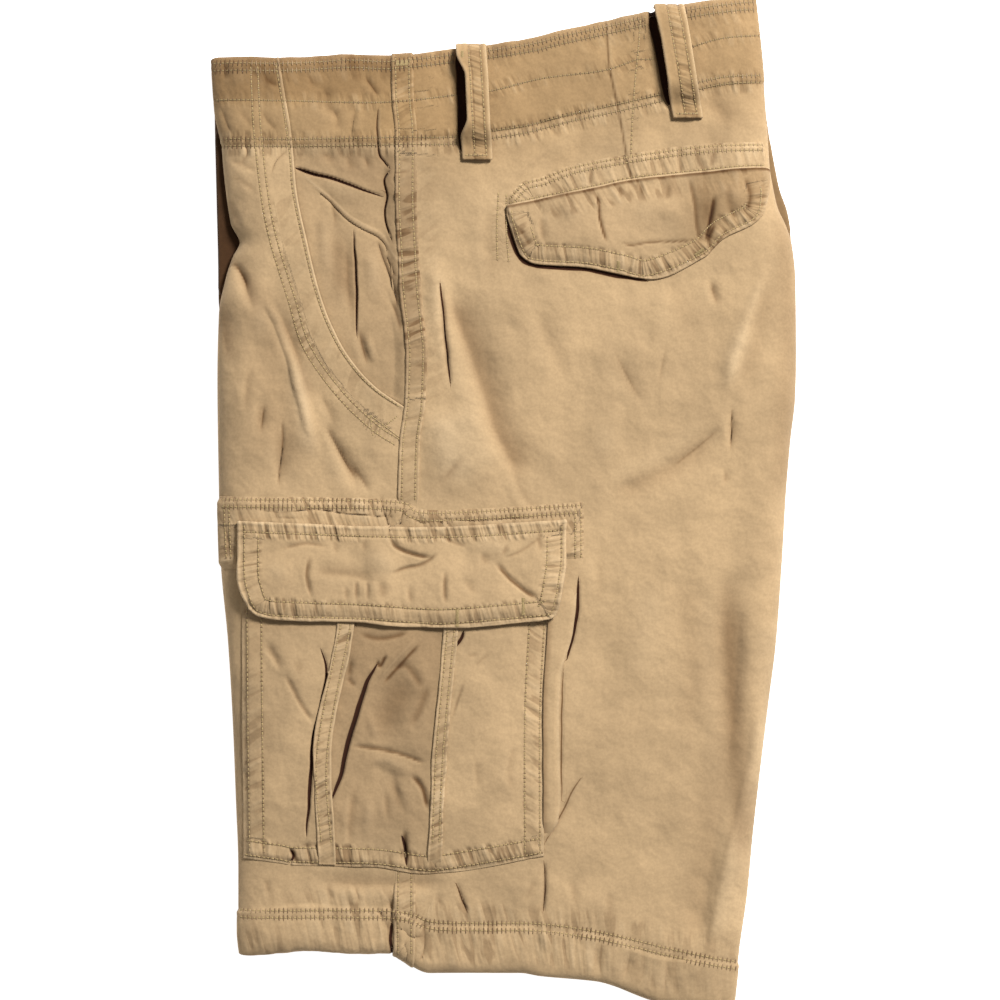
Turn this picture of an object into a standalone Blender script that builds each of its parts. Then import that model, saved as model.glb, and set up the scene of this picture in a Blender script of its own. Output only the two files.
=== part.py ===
"""Cargo shorts, folded in half along the middle and laid flat on their side.

The wearer's left leg lies on top, front edge at -X, back edge at +X, waist at
+Y.  Everything hidden (the inner side of that leg, the other leg and the pocket
bags) is one rounded solid with a flat underside and layered edges.  Each piece
that is cut and sewn onto the outside is a cloth wall that follows it.

Sizes below are in millimetres; the meshes are made in metres.
"""

from collections import namedtuple

import bmesh
import bpy
import numpy
from mathutils import Vector

METRES = 0.001

# ---- cloth --------------------------------------------------------------------------
SEAM_GAP = 0.3            # clear space between two pieces that meet
LAY_GAP = 0.5             # clear space between a panel and a piece sewn on it
EDGE_EASE = 0.7           # what that grows by where the piece turns over a folded side
EASE_WIDTH = 14.0
PANEL_WALL = 1.5          # one ply of washed twill with its turnings
WAISTBAND_WALL = 2.2      # the panels run up into the waistband, which is faced
WAISTBAND_DEPTH = 54.0
HEM_WALL = 2.4            # the hem is turned up twice
HEM_DEPTH = 29.0
SEAM_WALL = 2.6           # the flat-felled side seam, pressed flat under the cargo pocket
BAND_WALL = 1.4           # bands sewn on a panel
FLAP_WALL = 2.4           # two plies, turned and topstitched
POCKET_WALL = 1.6
STRIP_WALL = 1.3
LOOP_WALL = 2.0
EDGE_INSET = 1.5          # from the outline to the edge of what carries the panels
PANEL_TOP = SEAM_GAP + PANEL_WALL

# ---- outline: the height along the garment, then the place across it ------------------
FRONT_FOLD = (
    (-282, -164.5), (-267, -166), (-229, -166), (-186, -167.5), (-136, -169.5),
    (-86, -172.5), (-36, -177), (2, -178), (77, -179), (121, -178), (246, -180.5),
    (278, -182.5),
)
FRONT_EDGE = (
    (-282, -164.5), (-267, -166), (-229, -166), (-186, -167.5), (-136, -169.5),
    (-86, -172.5), (-36, -177), (2, -178), (77, -179), (118, -178), (139, -174),
    (152, -170), (163, -165), (175, -170.5), (202, -174.5), (227, -177), (246, -180.5),
    (278, -182.5),
)
BACK_FOLD = (
    (-316, 143), (-276, 147.5), (-244, 152), (-207, 155.5), (-176, 159), (-127, 165),
    (-87, 170), (-32, 174), (3, 176), (39, 179), (67, 182), (89, 182.5), (139, 182),
    (169, 180), (182, 178), (197, 173), (209, 170.5), (226, 167.5), (248, 164.5),
    (278, 162.5), (316, 157),
)
BACK_EDGE = (
    (-316, 143), (-276, 147.5), (-244, 152), (-207, 155.5), (-176, 159), (-127, 165),
    (-87, 170), (-32, 174), (3, 176), (39, 179), (67, 182), (89, 182.5), (139, 182),
    (160, 180), (173, 176), (184, 171), (197, 168), (209, 166), (231, 164.5),
    (264, 162), (278, 161), (316, 157),
)
SIDE_SEAM = (
    (-282, -68), (-236, -68), (-60, -66.5), (7, -65.5), (39, -64.5), (62, -61.5),
    (93, -60.5), (106, -61.5), (134, -64.5), (156, -65.5), (186, -67), (229, -67),
    (252, -69), (279, -69.5),
)
POCKET_MOUTH = (
    (59, -61.5), (70, -78), (82.5, -90.5), (101, -103), (127.5, -114), (163, -123),
    (194, -129.5), (226, -132.5), (278, -141),
)
# ---- outline: the place across the garment, then the height ---------------------------
WAIST_EDGE = (
    (-183, 277.5), (-136, 277), (-96, 279), (-70, 278), (-31, 282.5), (-9, 285),
    (18, 289), (35, 295), (64, 300), (91, 306), (112, 310), (144, 314.5), (158, 316),
)
HEM_EDGE = (
    (-165, -282), (-139, -279.5), (-124, -278), (-93, -280), (-72, -280), (-46, -292),
    (10, -292), (23, -294), (59, -297.5), (98, -310.5), (143, -315.5),
)
SEAM_WIDTH = 12.0
SEAM_TOP = 278.0          # height of the waist edge and of the hem at the side seam
SEAM_FOOT = -280.0

# ---- thickness of the heap ------------------------------------------------------------
# height along the garment, then how high the panels lie in the middle and at the edges
CROWN = (
    (-316, 13.5), (-282, 15), (-200, 18.5), (-100, 20.5), (0, 22), (100, 23), (200, 21),
    (260, 18), (316, 16),
)
RIM = ((-316, 9), (0, 9), (150, 11), (250, 10), (316, 9))
LEDGE_TOP = 9.0           # height of the lower layers where they reach past the panels
SIDE_ROUNDING = 26.0      # how far in from a folded side the cloth is still rounded
END_ROUNDING = 9.0        # the same at the waist and hem
END_LIFT = 0.55           # share of the crown that the waist and hem edges keep
FACING_RECESS = 1.8       # the cloth inside the hand pocket's mouth lies lower
FACING_SLOPE = 9.0

# ---- the largest folds: a line, its half width, and its height (a trough is below 0) ---
Fold = namedtuple("Fold", "x0 y0 x1 y1 width height")
FOLDS = (
    Fold(-36, 134, 13, 9, 9, -3.2),         # hip, from the seam down across the seat
    Fold(-44, 156, -40, 101, 8, 1.6),       # ridge beside the side seam
    Fold(136, 47, 60, 3, 9, -1.8),          # behind the thigh
    Fold(154, 121, 136, 65, 9, 2.0),
    Fold(-140, 56, -140, 22, 8, -2.0),      # front of the thigh
    Fold(-127, 99, -116, 28, 8, 2.2),
    Fold(-111, 50, -95, 22, 8, -2.2),
    Fold(-170, 158, -150, 112, 8, -2.6),    # beside the fly
    Fold(-129, 209, -75, 191, 8, -2.2),     # inside the hand pocket's mouth
    Fold(-122, 197, -69, 157, 8, 2.6),
    Fold(-94, 171, -91, 86, 8, -2.6),
    Fold(144, -60, 119, -282, 10, -2.6),    # valley along the back edge of the leg
    Fold(158, -137, 130, -282, 8, 1.6),
    Fold(-121, -238, -31, -246, 8, -1.6),   # under the cargo pocket
)
FOLD_END = 14.0           # a fold dies away over this length

# ---- edges of the hidden layers: share of the ledge's height, and how far it is drawn in
Ring = namedtuple("Ring", "rise inset layer_groove middle_groove")
EDGE_RINGS = (
    Ring(0.93, 0.4, 0, 0),
    Ring(0.80, 0.0, 0, 0),
    Ring(0.75, 0.0, 1, 0),
    Ring(0.70, 0.0, 0, 0),
    Ring(0.57, 0.3, 0, 0),
    Ring(0.50, 0.0, 0, 1),
    Ring(0.43, 0.5, 0, 0),
    Ring(0.30, 0.2, 0, 0),
    Ring(0.25, 0.2, 1, 0),
    Ring(0.20, 0.2, 0, 0),
    Ring(0.06, 0.9, 0, 0),
    Ring(0.00, 3.0, 0, 0),
)
SIDE_LAYER_GROOVE = 1.4   # the folded sides
SIDE_MIDDLE_GROOVE = 4.5
END_LAYER_GROOVE = 4.5    # the waist and the hem, where the layers are open
END_MIDDLE_GROOVE = 6.5

# ---- where the mesh lines run ---------------------------------------------------------
MOUTH_FOOT = 59           # the row where the hand pocket's mouth meets the side seam
ROW_HEIGHTS = (
    -280, -275, -266, -250, -228, -200, -165, -130, -95, -60, -30, -8, 8, 25, 42,
    MOUTH_FOOT, 67, 78, 92, 108, 126, 144, 162, 180, 198, 216, 234, 252, 266, 274, 278,
)
FRONT_COLUMNS = (0, 0.02, 0.06, 0.13, 0.23, 0.35, 0.48, 0.61, 0.74, 0.87, 1)
FACING_COLUMNS = (0, 0.17, 0.34, 0.5, 0.67, 0.84, 1)
SEAM_COLUMNS = (0, 1)
BACK_COLUMNS = (
    0, 0.05, 0.1, 0.15, 0.2, 0.26, 0.33, 0.41, 0.5, 0.59, 0.68, 0.77, 0.85, 0.91, 0.95,
    0.98, 0.994, 1,
)

# ---- back pocket ----------------------------------------------------------------------
BACK_FLAP_LEFT = 2.0
BACK_FLAP_RIGHT = 162.5
BACK_FLAP_TOP = ((2, 184), (56, 195), (79, 200), (115, 204), (160, 208), (167, 204))
BACK_FLAP_FOOT = (
    (2, 179), (5, 170), (11, 154), (20, 149), (50, 147), (71, 143), (91, 139.5),
    (124, 153), (137, 165), (155, 174), (161, 181), (163, 190),
)
BACK_FLAP_COLUMNS = (
    0, 0.02, 0.05, 0.1, 0.18, 0.28, 0.38, 0.46, 0.54, 0.63, 0.72, 0.79, 0.86, 0.91, 0.95,
    0.975, 0.99, 1,
)
BACK_FLAP_ROWS = 4
BACK_BAND_TOP = (
    (2, 190), (12, 200), (23, 203), (42, 210), (72, 216), (121, 223), (163, 225),
)
BACK_BAND_RIGHT = 160.0
BACK_BAND_COLUMNS = (0, 0.04, 0.1, 0.2, 0.3, 0.4, 0.5, 0.6, 0.7, 0.8, 0.88, 0.94, 0.98, 1)
BACK_BAND_ROWS = 2
BACK_FLAP_DOME = 1.4      # the flap stands up this much in its middle
DOME_SLOPE = 22.0         # and reaches that this far in from its long edges

# ---- cargo pocket ---------------------------------------------------------------------
CARGO_BAND_MARGIN = 1.0    # from the front fold to the end of the band that reaches it
CARGO_BAND_RIGHT = 49.5
CARGO_BAND_TOP = ((-177, 4), (-69, 2.5), (-46, -4.5), (50, 0.5))
CARGO_BAND_FOOT = ((-177, -41), (50, -34))
CARGO_BAND_COLUMNS = (
    0, 0.01, 0.03, 0.06, 0.11, 0.18, 0.28, 0.38, 0.48, 0.58, 0.69, 0.8, 0.9, 1,
)
CARGO_BAND_ROWS = (0, 0.5, 0.85, 1)
CARGO_FLAP_LEFT = ((-64, -157.5), (-55, -161.3), (-44, -163.4), (-12, -163.6))
CARGO_FLAP_RIGHT = ((-68.5, 31.5), (-58, 34.4), (-47, 36.2), (-36, 37.6), (-11, 38))
CARGO_FLAP_TOP = ((-164, -12), (-46, -15.5), (38, -11))
CARGO_FLAP_FOOT = (
    (-158, -65), (-152, -69.8), (-138, -72.3), (-89, -74), (-53, -76.5), (-29, -76.5),
    (24, -72), (28.5, -71), (32, -68.5),
)
CARGO_FLAP_COLUMNS = (
    0, 0.012, 0.035, 0.07, 0.13, 0.22, 0.32, 0.42, 0.52, 0.62, 0.72, 0.82, 0.91, 0.97, 1,
)
CARGO_FLAP_ROWS = (0, 0.08, 0.2, 0.4, 0.6, 0.8, 1)
FLAP_SLOPE = 48.0         # the flap climbs onto the strips over this length
FLAP_EASE = 1.2           # and lies this much looser there
CARGO_LEFT = ((-222, -162.5), (-64, -164.5))
CARGO_RIGHT = ((-219, 24.5), (-132, 24.5), (-72, 27.5))
CARGO_FOOT = (
    (-163, -221), (-140, -224), (-130, -225.5), (-82, -226.5), (-52, -230.5),
    (-37, -230), (25, -219.5),
)
CARGO_TOP = ((-170, -47), (30, -47))
CARGO_ROWS = (0, 0.06, 0.14, 0.26, 0.4, 0.55, 0.7, 0.85, 1)
CARGO_FRONT_COLUMNS = (0, 0.06, 0.2, 0.45, 0.72, 1)
CARGO_BACK_COLUMNS = (0, 0.25, 0.5, 0.75, 0.94, 1)
PLEAT_COLUMNS = 5
PLEAT_FRONT_LINE = ((-230, -110), (-214, -110.5), (-156, -113), (-76, -98.5), (-47, -97))
PLEAT_BACK_LINE = ((-230, -43), (-214, -42.5), (-156, -40), (-79, -33), (-47, -31))
PLEAT_FRONT_STRIP = 10.0
PLEAT_BACK_STRIP = 8.0
STRIP_TOP = ((-120, -58), (-20, -58))
STRIP_FOOT = ((-120, -224.6), (-20, -228))
STRIP_COLUMNS = 2
STRIP_ROWS = 8
BELLOWS_EDGE = (
    (-212, 28.5), (-186, 34.5), (-144, 34), (-109, 35), (-80, 42.5), (-44, 46),
)
BELLOWS_TOP = ((20, -44), (50, -44))
BELLOWS_FOOT = ((20, -210), (40, -210))
CARGO_COVER_TOP = 10.0    # the stretch of the side seam that lies under the pocket
CARGO_COVER_FOOT = -245.0
POCKET_PUFF = 3.0         # how far the pocket's middle stands up from the panel
PUFF_SIDE = 34.0
PUFF_TOP = 70.0
PLEAT_SINK = 0.7          # share of the puff that the pleat between the strips loses

# ---- belt loops -----------------------------------------------------------------------
LOOP_WIDTH = 17.5
LOOP_RISE = 7.4           # from the waistband to the underside of the loop
Loop = namedtuple("Loop", "name top_x foot_x foot_y")
LOOPS = (
    Loop("belt_loop_side", -20.5, -16.5, 214.0),
    Loop("belt_loop_back", 103.0, 114.5, 240.0),
)
LOOP_FOOT = 9.0           # length of the sewn foot
LOOP_CLIMB = 12.0         # length over which the loop leaves the band
LOOP_OVERHANG = 3.4       # how far it stands past the waist edge
LOOP_TIP = 7.0            # height at which it turns under at the top
LOOP_TURN = 12.0          # it starts to turn this far below the waist edge
LOOP_BEND = 0.55          # share of its height that it loses in that turn
CLIMB_STEPS = (0.25, 0.5, 0.75, 1.0)
SPAN_STEPS = (0.35, 0.7, 1.0)

COLOURS = {
    "cloth": (0.60, 0.42, 0.24),
    "cloth_deep": (0.48, 0.33, 0.18),
}


# ---- curves ---------------------------------------------------------------------------
def curve(rows):
    """A smooth line through (key, value) rows that never swings past them."""
    keys = numpy.array([row[0] for row in rows], dtype=float)
    values = numpy.array([row[1] for row in rows], dtype=float)
    steps = numpy.diff(keys)
    slopes = numpy.diff(values) / steps
    bends = numpy.zeros(len(keys))
    bends[0], bends[-1] = slopes[0], slopes[-1]
    for i in range(1, len(keys) - 1):
        if slopes[i - 1] * slopes[i] > 0:
            bends[i] = 2 * slopes[i - 1] * slopes[i] / (slopes[i - 1] + slopes[i])

    def value(key):
        if key <= keys[0]:
            return values[0]
        if key >= keys[-1]:
            return values[-1]
        i = int(numpy.searchsorted(keys, key, side="right")) - 1
        s = (key - keys[i]) / steps[i]
        start = (1 + 2 * s) * (1 - s) ** 2 * values[i] + s * (1 - s) ** 2 * steps[i] * bends[i]
        end = s * s * (3 - 2 * s) * values[i + 1] + s * s * (s - 1) * steps[i] * bends[i + 1]
        return start + end

    return value


def moved(line, distance):
    """The same line, shifted by a distance."""
    return lambda key: line(key) + distance


def straight(value):
    """A line that keeps one value."""
    return lambda key: value


def smooth(share):
    """An even rise from 0 to 1 as share goes from 0 to 1."""
    share = min(max(share, 0.0), 1.0)
    return share * share * (3 - 2 * share)


def rounded(distance, width):
    """The rise of a rounded edge, 0 at the edge and 1 from width on."""
    share = min(max(distance / width, 0.0), 1.0)
    return (1 - (1 - share) ** 2) ** 0.5


front_fold, back_fold = curve(FRONT_FOLD), curve(BACK_FOLD)
front_line = moved(curve(FRONT_EDGE), EDGE_INSET)
back_line = moved(curve(BACK_EDGE), -EDGE_INSET)
waist_edge, hem_edge = curve(WAIST_EDGE), curve(HEM_EDGE)
waist_line, hem_line = moved(waist_edge, -EDGE_INSET), moved(hem_edge, EDGE_INSET)
seam_line = curve(SIDE_SEAM)
seam_back_line = moved(seam_line, SEAM_WIDTH)
mouth_line = curve(POCKET_MOUTH)
crown, rim = curve(CROWN), curve(RIM)
pleat_front_line, pleat_back_line = curve(PLEAT_FRONT_LINE), curve(PLEAT_BACK_LINE)
cargo_left, cargo_right = curve(CARGO_LEFT), curve(CARGO_RIGHT)
cargo_foot, cargo_top = curve(CARGO_FOOT), curve(CARGO_TOP)


# ---- the form that everything lies on ---------------------------------------------------
def fold_height(x, y):
    """The sum of all the folds at one place."""
    total = 0.0
    for fold in FOLDS:
        along_x, along_y = fold.x1 - fold.x0, fold.y1 - fold.y0
        length = (along_x ** 2 + along_y ** 2) ** 0.5
        along = ((x - fold.x0) * along_x + (y - fold.y0) * along_y) / length
        beside = ((x - fold.x0) * along_y - (y - fold.y0) * along_x) / length
        ends = smooth((along + FOLD_END) / FOLD_END) * smooth((length - along) / FOLD_END + 1)
        total += fold.height * ends * float(numpy.exp(-(beside / fold.width) ** 2))
    return total


def facing_drop(x, y):
    """How far the cloth inside the hand pocket's mouth lies below the panels."""
    if y < MOUTH_FOOT:
        return 0.0
    inside = min(x - mouth_line(y), seam_line(y) - x)
    return FACING_RECESS * smooth(inside / FACING_SLOPE)


def height(x, y):
    """Height of the top of the hidden layers, which carry the panels."""
    side = rounded(min(x - front_line(y), back_line(y) - x), SIDE_ROUNDING)
    end = rounded(min(y - hem_line(x), waist_line(x) - y), END_ROUNDING)
    body = crown(y) - rim(y) + fold_height(x, y) - facing_drop(x, y)
    return rim(y) + body * side * (END_LIFT + (1 - END_LIFT) * end)


def slant(x, y):
    """The upward direction of that form."""
    reach = 1.0
    across = (height(x + reach, y) - height(x - reach, y)) / (2 * reach)
    along = (height(x, y + reach) - height(x, y - reach)) / (2 * reach)
    return Vector((-across, -along, 1.0)).normalized()


def on_form(x, y, lift=0.0):
    """A point at a distance above the form."""
    return Vector((x, y, height(x, y))) + slant(x, y) * lift


# ---- grids --------------------------------------------------------------------------------
def settle(across, along, left, right, foot, top):
    """The place in a four-sided outline, each side a line of its own."""
    y = 0.5 * (foot(0.0) + top(0.0))
    x = 0.5 * (left(y) + right(y))
    for _ in range(14):
        y = foot(x) + along * (top(x) - foot(x))
        x = left(y) + across * (right(y) - left(y))
    return x, y


def spaced(count):
    """Even shares from 0 to 1."""
    return [i / count for i in range(count + 1)]


def outline_grid(columns, rows, left, right, foot, top):
    """Rows of places that fill a four-sided outline."""
    return [[settle(u, v, left, right, foot, top) for u in columns] for v in rows]


def drawn_in(places, left_gap, right_gap):
    """The same rows, with their two ends pulled in to leave a seam's clear space."""
    result = []
    for row in places:
        row = [Vector(place) for place in row]
        first = (row[1] - row[0]).normalized() * left_gap
        last = (row[-2] - row[-1]).normalized() * right_gap
        row[0] = row[0] + first
        row[-1] = row[-1] + last
        result.append([tuple(place) for place in row])
    return result


class Form:
    """The master grid: the form's points, shared by the panels and what carries them."""

    def __init__(self):
        shares = [(y - SEAM_FOOT) / (SEAM_TOP - SEAM_FOOT) for y in ROW_HEIGHTS]
        self.foot_row = ROW_HEIGHTS.index(MOUTH_FOOT)
        low, high = shares[:self.foot_row + 1], shares[self.foot_row + 1:]

        def region(columns, rows, left, right):
            return outline_grid(columns, rows, left, right, hem_line, waist_line)

        self.front = region(FRONT_COLUMNS, low, front_line, seam_line)
        self.front += region(FRONT_COLUMNS, high, front_line, mouth_line)
        self.facing = region(FACING_COLUMNS, high, mouth_line, seam_line)
        self.seam = region(SEAM_COLUMNS, shares, seam_line, seam_back_line)
        self.back = region(BACK_COLUMNS, shares, seam_back_line, back_line)
        corner = self.front[self.foot_row][-1]
        self.facing_with_foot = [[corner] * len(FACING_COLUMNS)] + self.facing

    def edge(self):
        """The places round the outside, anticlockwise, with the side that each is on."""
        last = len(ROW_HEIGHTS) - 1
        ring = [(place, "hem") for place in self.front[0][:-1]]
        ring += [(place, "hem") for place in self.seam[0][:-1]]
        ring += [(place, "hem") for place in self.back[0][:-1]]
        ring += [(row[-1], "back") for row in self.back[:-1]]
        ring += [(place, "waist") for place in reversed(self.back[last][1:])]
        ring += [(place, "waist") for place in reversed(self.seam[last][1:])]
        ring += [(place, "waist") for place in reversed(self.facing[-1][1:])]
        ring += [(place, "waist") for place in reversed(self.front[last][1:])]
        ring += [(row[0], "front") for row in reversed(self.front[1:])]
        return ring


# ---- meshes ---------------------------------------------------------------------------------
class Solid:
    """A closed mesh under construction, its points shared by place."""

    def __init__(self):
        self.mesh = bmesh.new()
        self.points = {}

    def point(self, place):
        """The mesh point at a place in millimetres."""
        key = tuple(round(value, 3) for value in place)
        if key not in self.points:
            self.points[key] = self.mesh.verts.new(Vector(place) * METRES)
        return self.points[key]

    def face(self, *places):
        """A face, unless two of its corners coincide."""
        corners = [self.point(place) for place in places]
        kept = [c for i, c in enumerate(corners) if c != corners[i - 1]]
        if len(kept) >= 3:
            self.mesh.faces.new(kept)

    def skin(self, grid, upward=True):
        """Two triangles in each cell of a grid, always cut the same way."""
        for lower, upper in zip(grid, grid[1:]):
            for i in range(len(lower) - 1):
                a, b, c, d = lower[i], lower[i + 1], upper[i + 1], upper[i]
                for triangle in ((a, b, c), (a, c, d)):
                    self.face(*(triangle if upward else reversed(triangle)))

    def wall_between(self, lower, upper):
        """A strip that closes the space between two lines of points."""
        for i in range(len(lower) - 1):
            self.face(lower[i], lower[i + 1], upper[i + 1])
            self.face(lower[i], upper[i + 1], upper[i])

    def finish(self, name, colour, roughness=0.85):
        """The object, with its own material."""
        data = bpy.data.meshes.new(name)
        self.mesh.to_mesh(data)
        self.mesh.free()
        item = bpy.data.objects.new(name, data)
        bpy.context.collection.objects.link(item)
        material = bpy.data.materials.new(name)
        material.use_nodes = True
        shader = material.node_tree.nodes["Principled BSDF"]
        shader.inputs["Base Color"].default_value = (*COLOURS[colour], 1.0)
        shader.inputs["Roughness"].default_value = roughness
        shader.inputs["Metallic"].default_value = 0.0
        data.materials.append(material)
        data.shade_smooth()
        data.set_sharp_from_angle(angle=0.7)
        return item


def cloth_wall(name, places, lift, wall, colour="cloth"):
    """Cloth over a grid of places: lift and wall give its underside and thickness there."""
    under = [[on_form(x, y, lift(x, y)) for x, y in row] for row in places]
    over = [[on_form(x, y, lift(x, y) + wall(x, y)) for x, y in row] for row in places]
    solid = Solid()
    solid.skin(over)
    solid.skin(under, upward=False)
    solid.wall_between(under[0], over[0])
    solid.wall_between(list(reversed(under[-1])), list(reversed(over[-1])))
    left_under, left_over = [row[0] for row in under], [row[0] for row in over]
    right_under, right_over = [row[-1] for row in under], [row[-1] for row in over]
    solid.wall_between(list(reversed(left_under)), list(reversed(left_over)))
    solid.wall_between(right_under, right_over)
    return solid.finish(name, colour)


def level(distance):
    """A lift or a thickness that is the same everywhere."""
    return lambda x, y: distance


def ply(x, y):
    """Thickness of a panel: more in the waistband and in the turned-up hem."""
    if waist_edge(x) - y < WAISTBAND_DEPTH:
        return WAISTBAND_WALL
    if y - hem_edge(x) < HEM_DEPTH:
        return HEM_WALL
    return PANEL_WALL


def sewn_on(extra=0.0):
    """The lift of a piece that lies on a panel, or on something this much above it."""
    def lift(x, y):
        inside = min(x - front_line(y), back_line(y) - x)
        return PANEL_TOP + LAY_GAP + extra + EDGE_EASE * (1 - smooth(inside / EASE_WIDTH))
    return lift


# ---- what lies underneath -------------------------------------------------------------------
def reach_past(place, side):
    """How far the hidden layers' outline lies outside a point on the form's edge."""
    x, y = place
    if side == "front":
        return x - front_fold(y)
    if side == "back":
        return back_fold(y) - x
    if side == "hem":
        return y - hem_edge(x)
    return waist_edge(x) - y


def edge_directions(edge):
    """The direction straight out of the outline at each of its points."""
    places = [Vector(place) for place, _ in edge]
    directions = []
    for i, place in enumerate(places):
        along = places[(i + 1) % len(places)] - places[i - 1]
        directions.append(Vector((along.y, -along.x)).normalized())
    return directions


def hidden_layers(form):
    """Inner side of the upper leg, the other leg and the pocket bags, as one solid."""
    solid = Solid()
    for region in (form.front, form.facing_with_foot, form.seam, form.back):
        solid.skin([[on_form(x, y) for x, y in row] for row in region])
    edge = form.edge()
    directions = edge_directions(edge)
    inner = [on_form(*place) for place, _ in edge]
    for ring in EDGE_RINGS:
        outer = []
        for (place, side), direction in zip(edge, directions):
            folded = side in ("front", "back")
            layer = SIDE_LAYER_GROOVE if folded else END_LAYER_GROOVE
            middle = SIDE_MIDDLE_GROOVE if folded else END_MIDDLE_GROOVE
            inset = ring.inset + ring.layer_groove * layer + ring.middle_groove * middle
            spot = Vector(place) + direction * (reach_past(place, side) - inset)
            outer.append(Vector((spot.x, spot.y, ring.rise * LEDGE_TOP)))
        solid.wall_between([*outer, outer[0]], [*inner, inner[0]])
        inner = outer
    solid.face(*reversed(inner))
    return solid.finish("hidden_layers", "cloth_deep")


# ---- panels -----------------------------------------------------------------------------------
def panels(form):
    """The front, the back, the hand pocket's facing and the felled side seam."""
    half = SEAM_GAP / 2
    lay = level(SEAM_GAP)

    def seam_wall(x, y):
        covered = CARGO_COVER_FOOT < y < CARGO_COVER_TOP
        return PANEL_WALL if covered else SEAM_WALL

    cloth_wall("front_panel", drawn_in(form.front, 0.0, half), lay, ply)
    cloth_wall("pocket_facing", drawn_in(form.facing, half, half), lay, ply)
    cloth_wall("side_seam", drawn_in(form.seam, half, half), lay, seam_wall)
    cloth_wall("back_panel", drawn_in(form.back, half, 0.0), lay, ply)


# ---- back pocket --------------------------------------------------------------------------------
def back_pocket():
    """The pointed flap and the band that is sewn over the pocket's mouth."""
    left, right = straight(BACK_FLAP_LEFT), straight(BACK_FLAP_RIGHT)
    flap_top, flap_foot = curve(BACK_FLAP_TOP), curve(BACK_FLAP_FOOT)
    places = outline_grid(BACK_FLAP_COLUMNS, spaced(BACK_FLAP_ROWS), left, right,
                          flap_foot, flap_top)

    def flap_lift(x, y):
        inside = min(y - flap_foot(x), flap_top(x) - y) / DOME_SLOPE
        return sewn_on(BACK_FLAP_DOME * smooth(inside))(x, y)

    cloth_wall("back_flap", places, flap_lift, level(FLAP_WALL))
    band_foot, band_top = moved(flap_top, SEAM_GAP), curve(BACK_BAND_TOP)
    band_right = straight(BACK_BAND_RIGHT)
    places = outline_grid(BACK_BAND_COLUMNS, spaced(BACK_BAND_ROWS), left, band_right,
                          band_foot, band_top)
    cloth_wall("back_pocket_band", places, sewn_on(), level(BAND_WALL))


# ---- cargo pocket -------------------------------------------------------------------------------
def pocket_puff(x, y):
    """How far the pocket's cloth stands up from the panel."""
    inside = smooth((x - cargo_left(y)) / PUFF_SIDE) * smooth((cargo_right(y) - x) / PUFF_SIDE)
    inside *= smooth((y - cargo_foot(x)) / PUFF_SIDE) * smooth((cargo_top(x) - y) / PUFF_TOP)
    return POCKET_PUFF * inside


def cargo_pocket():
    """Two body pieces with a sunken pleat between them and a strip down each edge of it."""
    half = SEAM_GAP / 2

    def body(name, columns, left, right, gaps, sink=0.0):
        places = outline_grid(columns, CARGO_ROWS, left, right, cargo_foot, cargo_top)
        cloth_wall(name, drawn_in(places, *gaps),
                   lambda x, y: sewn_on((1 - sink) * pocket_puff(x, y))(x, y), level(POCKET_WALL))

    body("cargo_front", CARGO_FRONT_COLUMNS, cargo_left, pleat_front_line, (0, half))
    body("cargo_pleat", spaced(PLEAT_COLUMNS), pleat_front_line, pleat_back_line,
         (half, half), PLEAT_SINK)
    body("cargo_back", CARGO_BACK_COLUMNS, pleat_back_line, cargo_right, (half, half))

    def strip_lift(x, y):
        return sewn_on(POCKET_WALL + LAY_GAP + pocket_puff(x, y))(x, y)

    for name, line, width in (("cargo_strip_front", pleat_front_line, PLEAT_FRONT_STRIP),
                              ("cargo_strip_back", pleat_back_line, PLEAT_BACK_STRIP)):
        places = outline_grid(spaced(STRIP_COLUMNS), spaced(STRIP_ROWS), moved(line, -width / 2),
                              moved(line, width / 2), curve(STRIP_FOOT), curve(STRIP_TOP))
        cloth_wall(name, places, strip_lift, level(STRIP_WALL))

    places = outline_grid(spaced(STRIP_COLUMNS), spaced(STRIP_ROWS), cargo_right,
                          curve(BELLOWS_EDGE), curve(BELLOWS_FOOT), curve(BELLOWS_TOP))
    cloth_wall("cargo_bellows", drawn_in(places, half, 0), sewn_on(), level(PANEL_WALL))


def cargo_flap():
    """The flap, and the band above it that is sewn to the leg."""
    band_left, band_right = moved(front_line, CARGO_BAND_MARGIN), straight(CARGO_BAND_RIGHT)
    places = outline_grid(CARGO_BAND_COLUMNS, CARGO_BAND_ROWS, band_left, band_right,
                          curve(CARGO_BAND_FOOT), curve(CARGO_BAND_TOP))
    cloth_wall("cargo_band", places, sewn_on(), level(BAND_WALL))

    flap_top, flap_foot = curve(CARGO_FLAP_TOP), curve(CARGO_FLAP_FOOT)
    over_band = BAND_WALL + LAY_GAP
    over_strips = POCKET_WALL + LAY_GAP + STRIP_WALL + LAY_GAP + FLAP_EASE

    def flap_lift(x, y):
        down = smooth((flap_top(x) - y) / FLAP_SLOPE)
        return sewn_on(over_band + (over_strips - over_band) * down)(x, y)

    places = outline_grid(CARGO_FLAP_COLUMNS, CARGO_FLAP_ROWS, curve(CARGO_FLAP_LEFT),
                          curve(CARGO_FLAP_RIGHT), flap_foot, flap_top)
    cloth_wall("cargo_flap", places, flap_lift, level(FLAP_WALL))


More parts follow.
